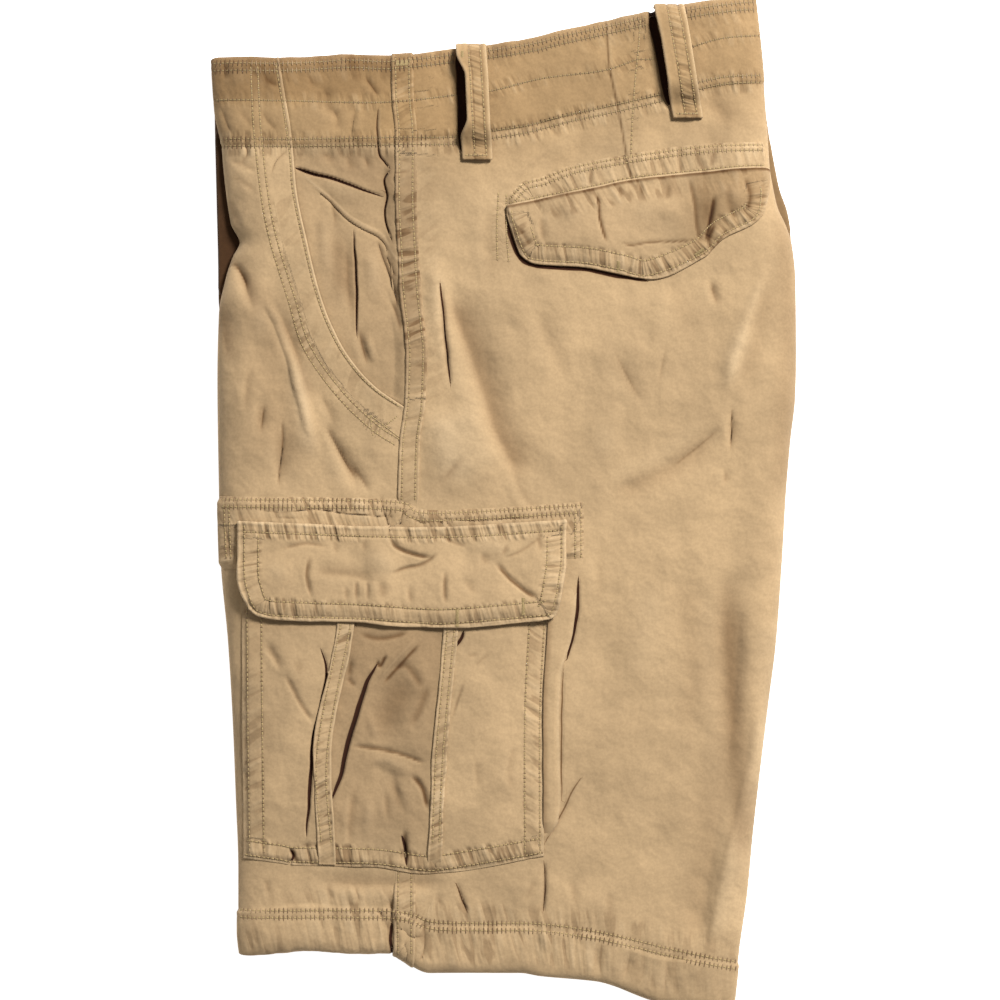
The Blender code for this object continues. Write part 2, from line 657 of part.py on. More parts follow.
# ---- belt loops ---------------------------------------------------------------------------------
def loop_path(loop):
    """The line of a loop's underside, from its sewn foot over the waist edge."""
    edge = waist_edge(loop.top_x)
    band_top = SEAM_GAP + WAISTBAND_WALL

    def across(y):
        share = (y - loop.foot_y) / (edge - loop.foot_y)
        return loop.foot_x + share * (loop.top_x - loop.foot_x)

    def above_band(y, rise):
        half = LOOP_WIDTH / 2
        highest = max(on_form(across(y) + side, y, band_top).z for side in (-half, 0, half))
        return Vector((across(y), y, highest + rise))

    climb = loop.foot_y + LOOP_FOOT
    path = [above_band(loop.foot_y, LAY_GAP), above_band(climb, LAY_GAP)]
    for share in CLIMB_STEPS:
        rise = LAY_GAP + (LOOP_RISE - LAY_GAP) * smooth(share)
        path.append(above_band(climb + LOOP_CLIMB * share, rise))
    top_of_climb = path[-1].y
    span = edge - LOOP_TURN - top_of_climb
    for share in SPAN_STEPS:
        path.append(above_band(top_of_climb + span * share, LOOP_RISE))
    turn = path[-1]
    tip_y = edge + LOOP_OVERHANG - LOOP_WALL
    for share in CLIMB_STEPS:
        angle = share * numpy.pi / 2
        y = turn.y + (tip_y - turn.y) * float(numpy.sin(angle))
        z = turn.z - (turn.z - LOOP_TIP) * float(1 - numpy.cos(angle)) * LOOP_BEND
        path.append(Vector((across(y), y, z)))
    path.append(Vector((across(tip_y), tip_y, LOOP_TIP)))
    return path


def belt_loop(loop):
    """A folded strip sewn at its foot, arched off the waistband and turned over its edge."""
    path = loop_path(loop)
    half = Vector((LOOP_WIDTH / 2, 0.0, 0.0))
    under, over = [], []
    for i, spot in enumerate(path):
        along = path[min(i + 1, len(path) - 1)] - path[max(i - 1, 0)]
        out = Vector((0.0, -along.z, along.y)).normalized()
        under.append([spot - half, spot + half])
        over.append([spot - half + out * LOOP_WALL, spot + half + out * LOOP_WALL])
    solid = Solid()
    solid.skin(over)
    solid.skin(under, upward=False)
    solid.wall_between(under[0], over[0])
    solid.wall_between(list(reversed(under[-1])), list(reversed(over[-1])))
    solid.wall_between([row[0] for row in reversed(under)], [row[0] for row in reversed(over)])
    solid.wall_between([row[1] for row in under], [row[1] for row in over])
    return solid.finish(loop.name, "cloth")


def main():
    """Clear the scene and make every piece of the shorts."""
    for item in list(bpy.data.objects):
        bpy.data.objects.remove(item, do_unlink=True)
    form = Form()
    hidden_layers(form)
    panels(form)
    back_pocket()
    cargo_pocket()
    cargo_flap()
    for loop in LOOPS:
        belt_loop(loop)


main()
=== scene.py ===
"""Dresses the folded cargo shorts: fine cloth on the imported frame, its creases and sewing."""

from collections import namedtuple

import bpy
import numpy as np
from bpy.props import FloatProperty, FloatVectorProperty, IntProperty, PointerProperty
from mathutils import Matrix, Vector
from mathutils.bvhtree import BVHTree


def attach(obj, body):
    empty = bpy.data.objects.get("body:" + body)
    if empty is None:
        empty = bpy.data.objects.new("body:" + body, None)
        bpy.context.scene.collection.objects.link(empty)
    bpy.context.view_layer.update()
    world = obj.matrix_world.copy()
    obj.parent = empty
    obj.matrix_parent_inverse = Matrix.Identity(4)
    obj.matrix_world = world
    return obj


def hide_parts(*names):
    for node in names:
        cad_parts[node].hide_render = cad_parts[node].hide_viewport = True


bl_info = {
    "name": "Folded Cargo Shorts",
    "version": (1, 0, 0),
    "blender": (4, 5, 0),
    "location": "View3D > Sidebar > Shorts",
    "description": "Cloth panels, pockets, loops and stitching of a folded pair of cargo shorts",
    "category": "Object",
}

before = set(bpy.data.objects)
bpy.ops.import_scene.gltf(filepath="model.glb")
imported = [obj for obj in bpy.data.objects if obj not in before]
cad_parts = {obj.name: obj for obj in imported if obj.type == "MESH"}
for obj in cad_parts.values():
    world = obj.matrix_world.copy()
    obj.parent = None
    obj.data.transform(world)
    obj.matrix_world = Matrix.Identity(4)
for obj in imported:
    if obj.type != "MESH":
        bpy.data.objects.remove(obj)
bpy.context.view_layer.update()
BODY = "root"
METRES = 0.001            # the tables below are in millimetres

# ---- cloth ----
LAY = 0.3                 # clear space under a panel
PANEL_WALL = 1.5
WAISTBAND_WALL = 2.2
WAISTBAND_DEPTH = 54.0
HEM_WALL = 2.5
HEM_DEPTH = 28.0
SEAM_WALL = 2.6
SEWN_GAP = 0.5            # clear space under a piece sewn on a panel
FLAP_WALL = 2.3
BAND_WALL = 1.4
POCKET_WALL = 1.6
STRIP_WALL = 1.3
LOOP_WALL = 2.0
PANEL_TOP = LAY + PANEL_WALL
ROW_WIDTH = 0.8           # half width of the groove under a row of stitches
RIM_STEPS = (0.45, 0.95, 1.6)  # from a piece's edge, where its mesh is closer
RIM_CLEAR = 2.2           # nothing else lies closer to the edge than this

# ---- outline: the height along the garment, then the place across it ----
FRONT_FOLD = (
    (-282, -164.5), (-267, -166), (-229, -166), (-186, -167.5), (-136, -169.5),
    (-86, -172.5), (-36, -177), (2, -178), (77, -179), (121, -178), (246, -180.5),
    (278, -182.5),
)
FRONT_EDGE = (
    *FRONT_FOLD[:9], (118, -178), (139, -174), (152, -170), (163, -165), (175, -170.5),
    (202, -174.5), (227, -177), *FRONT_FOLD[-2:],
)
BACK_FOLD = (
    (-316, 143), (-276, 147.5), (-244, 152), (-207, 155.5), (-176, 159), (-127, 165),
    (-87, 170), (-32, 174), (3, 176), (39, 179), (67, 182), (89, 182.5), (139, 182),
    (169, 180), (182, 178), (197, 173), (209, 170.5), (226, 167.5), (248, 164.5),
    (278, 162.5), (316, 157),
)
BACK_EDGE = (
    *BACK_FOLD[:13], (160, 180), (173, 176), (184, 171), (197, 168), (209, 166),
    (231, 164.5), (264, 162), (278, 161), BACK_FOLD[-1],
)
SIDE_SEAM = (
    (-282, -68), (-236, -68), (-60, -66.5), (7, -65.5), (39, -64.5), (62, -61.5),
    (93, -60.5), (106, -61.5), (134, -64.5), (156, -65.5), (186, -67), (229, -67),
    (252, -69), (279, -69.5),
)
SEAM_WIDTH = 12.0
SEAM_ROWS = (-1.9, -10.2)  # from the seam's front edge
JOIN = 0.15               # half the clear space between two panels that meet
MOUTH_FOOT = 59.0
POCKET_MOUTH = (
    (59, -61.5), (70, -78), (82.5, -90.5), (101, -103), (127.5, -114), (163, -123),
    (194, -129.5), (226, -132.5), (278, -141),
)

# ---- outline: the place across the garment, then the height ----
WAIST_EDGE = (
    (-183, 277.5), (-136, 277), (-96, 279), (-70, 278), (-31, 282.5), (-9, 285),
    (18, 289.3), (35, 293.6), (64, 300), (91, 306), (112, 310), (144, 314.5), (158, 316),
)
HEM_EDGE = (
    (-165, -282), (-139, -279.5), (-124, -278), (-93, -280), (-72, -280), (-46, -292),
    (10, -292), (23, -294), (59, -297.5), (98, -310.5), (143, -315.5),
)

# ---- thickness of the folded stack ----
CROWN = (
    (-316, 13.5), (-282, 15), (-200, 18.5), (-100, 20.5), (0, 22), (100, 23), (200, 21),
    (260, 18), (316, 16),
)
RIM = ((-316, 9), (0, 9), (150, 11), (250, 10), (316, 9))
EDGE_INSET = 1.5          # from the outline to the edge of what carries the panels
END_INSET = 0.8
SIDE_ROUNDING = 26.0
END_ROUNDING = 6.0
END_LIFT = 0.55
FOLD_FADE = 8.0           # creases die away this close to a folded side
FACING_DROP = 2.6         # how far the cloth inside the pocket's mouth lies lower
FACING_SLOPE = 8.0
CURL_IN = 4.0             # a folded side turns under by this much
CURL_DOWN = 3.3
UNDER_RETURN = 5.0        # width of the underside that shows round a panel's edge
MOUTH_COVER = 5.0         # how far the facing reaches in under the hand pocket's mouth
BACK_FLAP_DOME = 1.4
LEDGE_TOP = 9.0           # height of the lower layers where they reach past the panels

# ---- creases ----
# Each is across, up, across, up and so on, then its half width, its height (below zero in a
# trough), its lean to the steeper side, its shade (painted shade along it), and the length over
# which it dies away. A ridge also gets a painted highlight; entries with no height only paint
# shade.
Crease = namedtuple("Crease", "points width height lean shade end", defaults=(0.0, 0.0, 22.0))


def drawn(*entries):
    """A table of creases or gaps, whose last figures can be left out."""
    return [Crease(tuple(zip(places[::2], places[1::2])), *rest) for places, *rest in entries]


PANEL_CREASES = drawn(
    ((-150, 150, -142, 80, -138, 10), 24, 0, 0, 0.13, 30),
    ((172, 200, 177, 110, 172, -10), 9, 0, 0, 0.16, 40),
    ((139, -30, 140, -90, 145, -160, 148, -240), 9, -1.8, 0.2, 0.27, 40),
    ((-38, 70, -30, 34, -22, 0), 18, 2.4, 0, 0, 24),
    ((-46, 60, -38, 36, -32, 12), 11, 1.2, 0, 0, 16),
    ((-152, 129.7, -141, 112.4, -131.6, 87, -123.8, 55.6, -117.4, 33.5), 2.2, 1.6, 0.1),
    ((-146, 124, -135.5, 106, -126, 82, -119, 54), 4.2, -1.8, 0.2, 0.2),
    ((-149, 64, -151.4, 41), 1.2, -0.7, 0.2, 0.35, 9),
    ((-138.8, 55, -137.9, 38, -140.3, 19, -140, 6), 1.1, -1, 0.2, 0.5, 12),
    ((-112.7, 51, -104.8, 35, -98.5, 24, -89, 11), 2.4, -1.4, 0.3, 0.35, 10),
    ((-97, 26, -90, 17, -83, 6), 1.8, -1, 0.3, 0.35, 8),
    ((-117, 72, -108, 55, -104, 42), 3, -1, 0.2, 0.14),
    ((-171, 153, -162, 140, -158, 130), 2.4, -1.2, 0.2, 0.45, 8),
    ((-172, 192, -166, 176, -163, 168), 2.6, -0.9, 0.2, 0.2, 8),
    ((-171, 204, -160, 198, -153, 192), 2, -0.5, 0.2, 0.14, 6),
    ((-157, 92, -160, 66, -158, 48), 3, -0.7, 0.2, 0.12),
    ((-88, 266, -82, 258, -77, 251), 2.2, -1, 0.2, 0.4, 6),
    ((-150, 270, -146, 262, -138, 258), 2.4, -0.7, 0.2, 0.25, 6),
    ((-153, 246, -146, 236, -138, 230), 2.8, -0.7, 0.2, 0.2, 7),
    ((-174, 276, -173, 262), 2.4, -0.8, 0.2, 0.3, 5),
    ((-176, 247, -172, 236, -168, 229), 1.8, -0.8, 0.2, 0.3, 6),
    ((-108, 247, -104, 238, -106, 230), 2.6, -0.8, 0.2, 0.16, 6),
    ((-134, 221, -142, 213, -146, 203), 1.2, -0.7, 0.2, 0.3, 6),
    ((-172, 214, -160, 209, -152, 206), 2.4, -0.7, 0.2, 0.16, 6),
    ((-164, 226, -160, 218, -165, 210), 1.6, -0.6, 0.2, 0.2, 5),
    ((-112, 262, -110, 246, -100, 238), 4, -0.8, 0.2, 0.14, 8),
    ((-122, 268, -118, 256), 3, -0.6, 0.2, 0.14, 6),
    ((-160, 270, -150, 262, -146, 254), 3, -0.6, 0.2, 0.16, 6),
    ((-166, 246, -158, 236, -154, 230), 3, -0.5, 0.2, 0.14, 6),
    ((8, 240, 22, 236, 40, 228), 4, -0.7, 0.2, 0.08),
    ((64.6, 100, 76, 80, 88.5, 58), 1.3, -0.6, 0.2, 0.22),
    ((101, 101, 95, 69), 1.4, -0.5, 0.2, 0.14),
    ((126.5, 140, 131, 128, 134, 120), 2.8, -1, 0.2, 0.3, 8),
    ((164, 150, 152, 116, 141, 82, 136, 62), 3, 1.1, -0.3),
    ((168, 146, 159, 112, 150, 84, 144, 66), 7, -1, 0.2, 0.1),
    ((141, 62, 141, 30), 1, -0.7, 0.2, 0.42, 9),
    ((136, 48.5, 120, 35, 103, 21), 1.4, -0.6, 0.2, 0.25, 10),
    ((-8, 192, -10, 160, -4, 130), 5, -0.7, 0.2, 0.06),
    ((20, 130, 30, 96, 44, 70), 6, -0.7, 0.2, 0.06),
    ((0, 30, 14, 2, 30, -12), 3, -0.6, 0.2, 0.08),
    ((60, -20, 58, -70), 4, -0.6, 0.2, 0.05),
    ((110, -40, 118, -100, 110, -150), 12, -0.9, 0.2, 0.09),
    ((-150, -232, -146, -246), 2.4, -0.7, 0.2, 0.2, 6),
    ((-112, -236, -106, -250), 2.4, -0.7, 0.2, 0.2, 6),
    ((-95, -238, -88, -252), 2, -0.7, 0.2, 0.22, 6),
    ((-44, -244, -38, -252), 2, -0.7, 0.2, 0.22, 6),
    ((20, -232, 12, -250), 2.6, -0.6, 0.2, 0.12, 8),
    ((40, -232, 46, -254), 3, -0.6, 0.2, 0.12, 8),
    ((64, -240, 66, -262), 3, -0.6, 0.2, 0.12, 8),
    ((-36, 134, -23, 101, -12, 70, -5, 47, 9, 19, 13, 9), 9, -3.4, 0.4, 0.32),
    ((-40, 138, -38, 117, -36, 93, -33, 71), 1.8, -2.2, 0, 0.45),
    ((-43, 156, -40, 101), 6, 1.8),
    ((-23, 33, -42, 9), 3, -0.9, 0.2, 0.2),
    ((154, 121, 136, 65), 8, 1.8),
    ((141, 62, 141, 28), 3, -1.2, 0.3, 0.2),
    ((137, 22, 137, 10), 2.6, -1, 0.3, 0.2, 5),
    ((136, 47, 103, 22, 60, 3), 7, -1.7, 0.3, 0.15),
    ((64, 96, 89, 57), 5, -0.8, 0.3, 0.1),
    ((129, 139, 129, 125), 2.6, -0.8, 0, 0.1),
    ((-140, 52, -139, 28, -140, 6), 4.5, -1.6, 0.3, 0.2),
    ((-151, 66, -152, 40), 4, -1.2, 0.2, 0.2),
    ((-127, 99, -124, 52, -115, 20), 7, 2.4, -0.2),
    ((-109, 46, -99, 25, -87, 3), 5, -2.2, 0.3, 0.2),
    ((-170, 158, -160, 134, -150, 112), 5, -2.6, 0.3, 0.3),
    ((-163, 146, -152, 118, -148, 92), 6, 1.2),
    ((-176, 134, -173, 108, -170, 80), 5, -1.6, 0.3, 0.3),
    ((146, -60, 142, -130, 132, -200, 119, -282), 12, -2.8, -0.5, 0.12),
    ((160, -120, 155, -160, 142, -215, 128, -282), 5, 1.5, 0.45),
    ((-121, -233, -100, -237, -57, -238, -31, -236), 5, -1.8, 0.2, 0.15),
    ((-30, -236, -22.5, -256), 1.6, -1.1, 0.2, 0.2, 6),
    ((25, -223, 24.4, -255), 1.8, -1.2, 0.2, 0.2, 6),
    ((56, -272, 58, -296), 3, -1.6, 0.2, 0.15),
    ((79, -276, 74, -301), 3.4, -1.8, 0.2, 0.15),
    ((102, -279, 99, -310), 3, -1.6, 0.2, 0.15),
    ((-50, -258, -51, -288), 2, -1.8, 0.2, 0.25, 7),
    ((-92, 218, -94, 232, -91, 252), 2, -0.8, 0.2, 0.25),
    ((46, -178, 34.5, -197, 24.5, -216), 1.6, -0.8, 0.2, 0.16),
    ((45, 48, 35, 12), 8, -0.8, 0.2),
    ((96, 150, 108, 128, 118, 92), 9, -0.9, 0.2, 0.05),
    ((58, 60, 66, 20), 10, 0.8),
    ((90, -40, 84, -120), 12, 0.7),
    ((64, -60, 60, -150), 10, -0.7),
    ((100, -150, 92, -230), 9, -0.7),
    ((60, 232, 36, 213, 14, 206), 6, -0.8, 0.2, 0.05),
    ((118, 236, 131, 224, 144, 232), 7, -1.1, 0.2, 0.1),
    ((120, 258, 131, 248, 139, 238, 140, 224), 8, -1, 0.2, 0.16),
    ((-66, -264, -58, -271, -51, -269), 1.5, -1.1, 0.2, 0.5, 5),
    ((-53, -260, -50, -274, -54, -287), 1.5, -1.1, 0.2, 0.5, 6),
    ((-64, -273, -61, -279, -59, -286), 1.2, -0.8, 0.2, 0.45, 5),
    ((-72, -246, -70, -256, -69, -264), 1.8, -1.1, 0.2, 0.5, 5),
    ((-82, -252, -76, -258, -72, -268), 1.6, -0.8, 0.2, 0.3, 5),
    ((-78, 5, -75, -6, -70, -20), 1.6, -1, 0.2, 0.4, 6),
)
# Gaps: shallow openings between folds, darkened with painted shade.
FACING_GAPS = drawn(
    ((-130.2, 209, -118, 205, -104, 201, -91, 195.8, -75, 190.5), 0.85, -2.6, 5, 1, 9),
    ((-93.4, 170, -92.6, 152, -91.9, 128, -92, 103), 0.55, -2, 0, 0.95, 32),
    ((-78, 246, -78.8, 234.5, -78, 218.5, -74.3, 212, -70.2, 207.6), 0.5, -1.2, -0.6, 0.62, 26),
    ((-70.5, 206.5, -74.2, 201, -72.4, 191.5, -74.2, 182, -73, 172.5, -69, 163), 0.6, -1.2, 1, 0.7,
     8),
)
# Painted shadow beside and under each belt loop, over a shallow trough.
LOOP_GAPS = drawn(
    ((-27, 286, -27, 272, -26.2, 247, -26, 230, -26, 218.5), 2.9, -2.2, 0, 1, 16),
    ((92.5, 309, 93.5, 297, 96.5, 283, 100, 264, 103.5, 247), 2.6, -2.2, 0, 1, 14),
)
PANEL_GAPS = drawn(
    ((46.6, -46, 45.2, -70, 38.9, -98), 1, -1, 0, 0.85, 18),
    ((37.2, -103, 35.6, -140, 35.8, -186), 0.45, -0.6, 0, 0.42, 24),
    ((49, -170, 43, -179, 34.3, -195, 28.4, -205, 24.6, -213), 0.45, -0.7, 0, 0.36, 14),
    ((1.5, 183, 3, 170, 9, 154, 19, 147.6, 50, 145.4, 72, 141.2, 90, 138), 1.35, -0.6, 0, 0.85,
     18),
    ((-40, 138, -38.5, 124, -36, 100, -33, 73), 0.8, -1.5, 0, 0.8, 20),
    ((-69.5, -262, -70.5, -272, -69, -281), 0.9, -1.4, 0, 0.8, 5),
    ((25, -223, 26, -238, 24.4, -255), 0.5, -1.1, 0, 0.6, 9),
    ((-30, -236, -26.4, -247, -22.5, -256), 0.5, -1, 0, 0.55, 7),
)
CARGO_GAPS = drawn(
    ((-113.5, -90, -110.5, -104, -113.5, -124, -118, -144, -120, -164, -121, -184, -122.8, -208),
     1, -2.2, 0, 1, 50),
    ((-78.5, -99, -86, -113, -92, -131, -97.5, -150, -101.5, -168, -107.5, -186), 1.35, -2.4, 0, 1,
     40),
    ((-25, -79, -26.5, -84, -30.5, -90), 0.9, -1.5, 0, 1, 5),
    ((-63, -206, -61, -216, -61, -226), 0.8, -1.4, 0, 0.8, 6),
    ((-133, -215, -131, -220, -134, -226), 0.7, -1.2, 0, 0.8, 4),
)
FACING_CREASES = drawn(
    ((-124, 205, -104, 197, -82, 189), 6, 1),
    ((-121, 199.5, -108, 188.5, -98.5, 179, -89, 172.6, -76.4, 166, -69.5, 155), 0.9, 1, 0.1),
    ((-118, 195.5, -107, 186, -97.5, 176.6, -88, 170.2, -76, 163.4, -70, 153), 1.2, -1, 0.2, 0.34,
     12),
    ((-98, 168, -97, 140, -95, 108), 3.6, -1.4, 0.2, 0.22),
    ((-84, 166, -81, 140, -79, 118), 5, 1.3),
    ((-79.8, 166, -76.6, 154, -70.3, 138.5, -64.5, 119), 1.8, -1.6, 0.2, 0.55, 10),
    ((-75.5, 147, -71, 140, -66, 128), 1, -0.8, 0.2, 0.4, 6),
    ((-74, 155, -69.5, 146, -66.5, 139), 1, -0.8, 0.2, 0.45, 5),
    ((-71, 128, -66, 116, -63, 104), 2.4, -0.8, 0.2, 0.3, 8),
    ((-91.6, 112, -89, 98, -84, 82), 2.6, -1.4, 0.3, 0.42, 12),
    ((-86.5, 108, -83, 96, -79, 84), 2, 0.9),
    ((-104, 176, -103, 150, -100, 118), 6, -0.9, 0, 0.2),
    ((-112, 188, -111, 160, -106, 134), 4, 0.9),
    ((-110, 196, -106, 180, -105, 166), 2.4, -0.7, 0.2, 0.2),
    ((-88, 218, -84, 206), 2.4, -0.9, 0.3, 0.2, 6),
    ((-99, 222, -95, 204), 3.4, -0.8, 0.3, 0.12, 6),
    ((-112, 221, -107, 209), 3.4, -0.6, 0.3, 0.1, 6),
)

FACING_RIDGE = (
    (-120.4, 200.2), (-107.4, 189.2), (-97.9, 179.7), (-88.6, 173.3), (-75.8, 166.6), (-69, 156),
)

# ---- rows of stitches on the panels, each a line of (across, up) points ----
EDGE_ROWS = (3.0, 7.6)    # below the waist edge
LOWER_BAND_ROW = (
    (-178, 227), (-132, 226.5), (-67, 227.5), (-32, 228), (-5, 232), (14, 235), (41, 242),
    (69, 248), (97, 254.5), (121, 262), (139, 265.5), (162, 267),
)
MIDDLE_BAND_ROW = (
    (-181, 251.5), (-136, 250.5), (-74, 249.5), (-32, 254), (-7, 257), (24, 264.5),
    (62, 269.5), (82, 276), (93, 277), (118, 284.5), (136, 289.5), (160, 292),
)
HEM_ROW = (
    (-166, -254), (-70, -254.5), (-46, -261), (-15, -262), (23, -262.5), (56, -267),
    (79, -272), (103, -278), (126, -283), (147, -287),
)
MOUTH_ROW = (
    (-153.5, 274), (-152, 242), (-150.5, 224), (-146.5, 190), (-141, 163), (-130, 127.5),
    (-120.5, 98), (-101, 70), (-80, 49.5), (-64, 39),
)
DOUBLE_ROW = 4.4          # between the two rows of a double row
DART_LINE = ((64, 300), (66, 273), (71, 248), (76, 221), (79, 200))
DART_ROW = ((85, 303), (84, 286), (82, 267), (80.5, 248), (79.5, 231), (79, 212))
POCKET_BAG_LINE = ((2, 191), (8, 202), (18, 211), (29, 219), (44, 224))
WELT_ROWS = (((-3.5, 193), (-4.5, 170), (-4, 150)), ((1.5, 192), (1.5, 170), (3, 149)))

# ---- back pocket ----
BACK_FLAP_LEFT = 2.0
BACK_FLAP_RIGHT = 162.5
BACK_FLAP_TOP = ((2, 184), (56, 195), (79, 200), (115, 204), (160, 208), (167, 204))
BACK_FLAP_FOOT = (
    (2, 179), (5, 170), (11, 154), (20, 149), (50, 147), (71, 143), (91, 139.5),
    (124, 153), (137, 165), (155, 174), (161, 181), (163, 190),
)
BACK_FLAP_RIM = (
    (2.5, 183), (2.8, 177), *BACK_FLAP_FOOT[1:-2], (160.5, 181), (162, 192), (161, 202),
)
BACK_BAND_TOP = (
    (2, 190), (12, 200), (23, 203), (42, 210), (72, 216), (121, 223), (163, 225),
)
BACK_BAND_RIGHT = 160.0
BACK_FLAP_ROWS = ((2.2, 0.4), (11.5, 0.3))    # from the rim, and the depth of the groove
BACK_BAND_ROWS = (-1.6, -5.0)                 # from the band's top

# ---- cargo pocket ----
CARGO_BAND_RIGHT = 49.5
CARGO_BAND_TOP = ((-177, 4), (-69, 2.5), (-46, -4.5), (50, 0.5))
CARGO_BAND_FOOT = ((-177, -41), (50, -34))
BAND_ROWS = (-1.8, -6.4)                      # from the band's top
FLAP_ROWS = ((2.2, 0.4), (11.0, 0.3))         # from the rim, and the depth of the groove
FLAP_TOP_ROW = -5.8                           # from the flap's top
POCKET_ROWS = {"left": (2.4, 11.5), "right": (2.2, 11.5), "foot": (2.0, 11.0)}
STRIP_ROW = 1.9           # from a strip's edge
CARGO_FLAP_LEFT = ((-64, -157.5), (-55, -161.3), (-44, -163.4), (-12, -163.6))
CARGO_FLAP_RIGHT = ((-68.5, 31.5), (-58, 34.4), (-47, 36.2), (-36, 37.6), (-11, 38))
CARGO_FLAP_TOP = ((-164, -12), (-46, -15.5), (38, -11))
CARGO_FLAP_FOOT = (
    (-158, -65), (-152, -69.8), (-138, -72.3), (-89, -74), (-53, -76.5), (-29, -76.5),
    (24, -72), (28.5, -71), (32, -68.5),
)
CARGO_FLAP_RIM = (
    (-163.6, -12), (-163.4, -44), (-161.3, -55), (-157.5, -65), *CARGO_FLAP_FOOT[1:-1],
    *((across, up) for up, across in CARGO_FLAP_RIGHT),
)
CARGO_LEFT = ((-222, -161.0), (-64, -162.5))
CARGO_RIGHT = ((-219, 24.5), (-132, 24.5), (-72, 27.5))
CARGO_FOOT = (
    (-163, -221), (-140, -224), (-130, -225.5), (-82, -226.5), (-52, -230.5),
    (-37, -230), (25, -219.5),
)
CARGO_TOP = ((-170, -47), (30, -47))
CARGO_SIDES = (((-162.5, -60), (-161.8, -140), (-161, -221)),
               ((24.5, -219), (24.5, -132), (27.5, -70)))
PLEAT_FRONT_LINE = ((-230, -110), (-214, -110.5), (-156, -113), (-76, -98.5), (-47, -97))
PLEAT_BACK_LINE = ((-230, -43), (-214, -42.5), (-156, -40), (-79, -33), (-47, -31))
PLEAT_FRONT_STRIP = 10.0
PLEAT_BACK_STRIP = 8.0
STRIP_TOP = ((-120, -58), (-20, -58))
STRIP_FOOT = ((-120, -224.6), (-20, -228.0))
BELLOWS_EDGE = (
    (-212, 28.5), (-186, 34.5), (-144, 34), (-109, 35), (-80, 42.5), (-44, 46),
)
BELLOWS_TOP = ((20, -44), (50, -44))
BELLOWS_FOOT = ((20, -210), (40, -210))
POCKET_PUFF = 3.0         # how far the pocket stands up in its middle
PUFF_SIDE = 34.0          # length over which it rises from a side
PUFF_TOP = 70.0
PLEAT_SINK = 0.7          # share of the puff that the pleat lacks
CARGO_CREASES = drawn(
    ((-58, -100, -68, -125, -84, -152), 11, -0.8, 0, 0.16),
    ((-149.8, -84.5, -143, -95, -136.3, -105), 2.6, -1, 0.2, 0.24, 9),
    ((-136.3, -105, -127, -124, -118, -136.6), 1.4, -1, 0.2, 0.34, 8),
    ((-131, -96, -126, -108), 3, -0.7, 0.2, 0.14, 6),
    ((-95.3, -151.6, -79.5, -153.2, -63.8, -156.3, -48, -163), 1.3, -1.3, 0.6, 0.4, 8),
    ((-90, -158, -70, -161, -52, -170), 4, 1.2),
    ((-59, -168.2, -51, -177.6, -47.6, -192), 1.6, -1.5, 0.3, 0.55, 7),
    ((-62, -202, -61, -224), 1.6, -1.4, 0.2, 0.45, 5),
    ((-60, -196, -66, -180, -70, -164), 3, -1, 0.2, 0.18),
    ((-54.3, -83, -66, -96, -79.5, -111.5), 1.1, 1, 0, 0, 8),
    ((-51.5, -86, -63, -99, -76.5, -114), 1.2, -1.1, 0.2, 0.4, 8),
    ((-80.5, -97, -77, -101.5, -72.5, -93.5), 1.2, -1.4, 0.2, 0.55, 4),
    ((-92.2, -81.4, -76.4, -84.5, -57.4, -80), 1.8, -1, 0.2, 0.32, 8),
    ((-95.3, -95.6, -97, -110), 1.6, -0.9, 0.2, 0.28, 6),
    ((-98.5, -108.2, -92.2, -114.5), 1.2, -0.7, 0.2, 0.28, 3),
    ((-70, -104, -60, -102, -50, -116), 2.4, -0.8, 0.2, 0.22, 7),
    ((-58, -140, -52, -128, -47, -112), 2.8, -0.8, 0.2, 0.2, 7),
    ((-86, -128, -80, -144, -82, -152), 3, 0.8),
    ((-22, -106, -12, -96, -4, -90), 1.2, -0.5, 0.2, 0.12),
    ((-34, -140, -28, -122, -23, -105), 1.1, -0.6, 0.3, 0.24),
    ((-26, -96, -14, -94), 1.4, -0.5, 0.2, 0.14, 5),
    ((14, -140, 12, -190), 7, -0.7),
    ((6, -150, 3, -166, 5, -180), 2.4, -0.5, 0.2, 0.1, 6),
    ((-18, -158, -16, -178), 2.4, -0.5, 0.2, 0.1, 6),
    ((-150, -120, -146, -180), 7, -0.6, 0, 0.05),
    ((-84, -176, -86, -214), 4, 1),
    ((-92, -168, -95, -190, -97, -222), 2.4, -0.8, 0.2, 0.14),
    ((-74, -176, -72, -200), 2.4, -0.7, 0.2, 0.14),
    ((-134, -214, -128, -226), 1.6, -1, 0.2, 0.5, 4),
    ((-128, -213, -100, -214), 1.3, -0.7, 0.2, 0.3, 6),
)
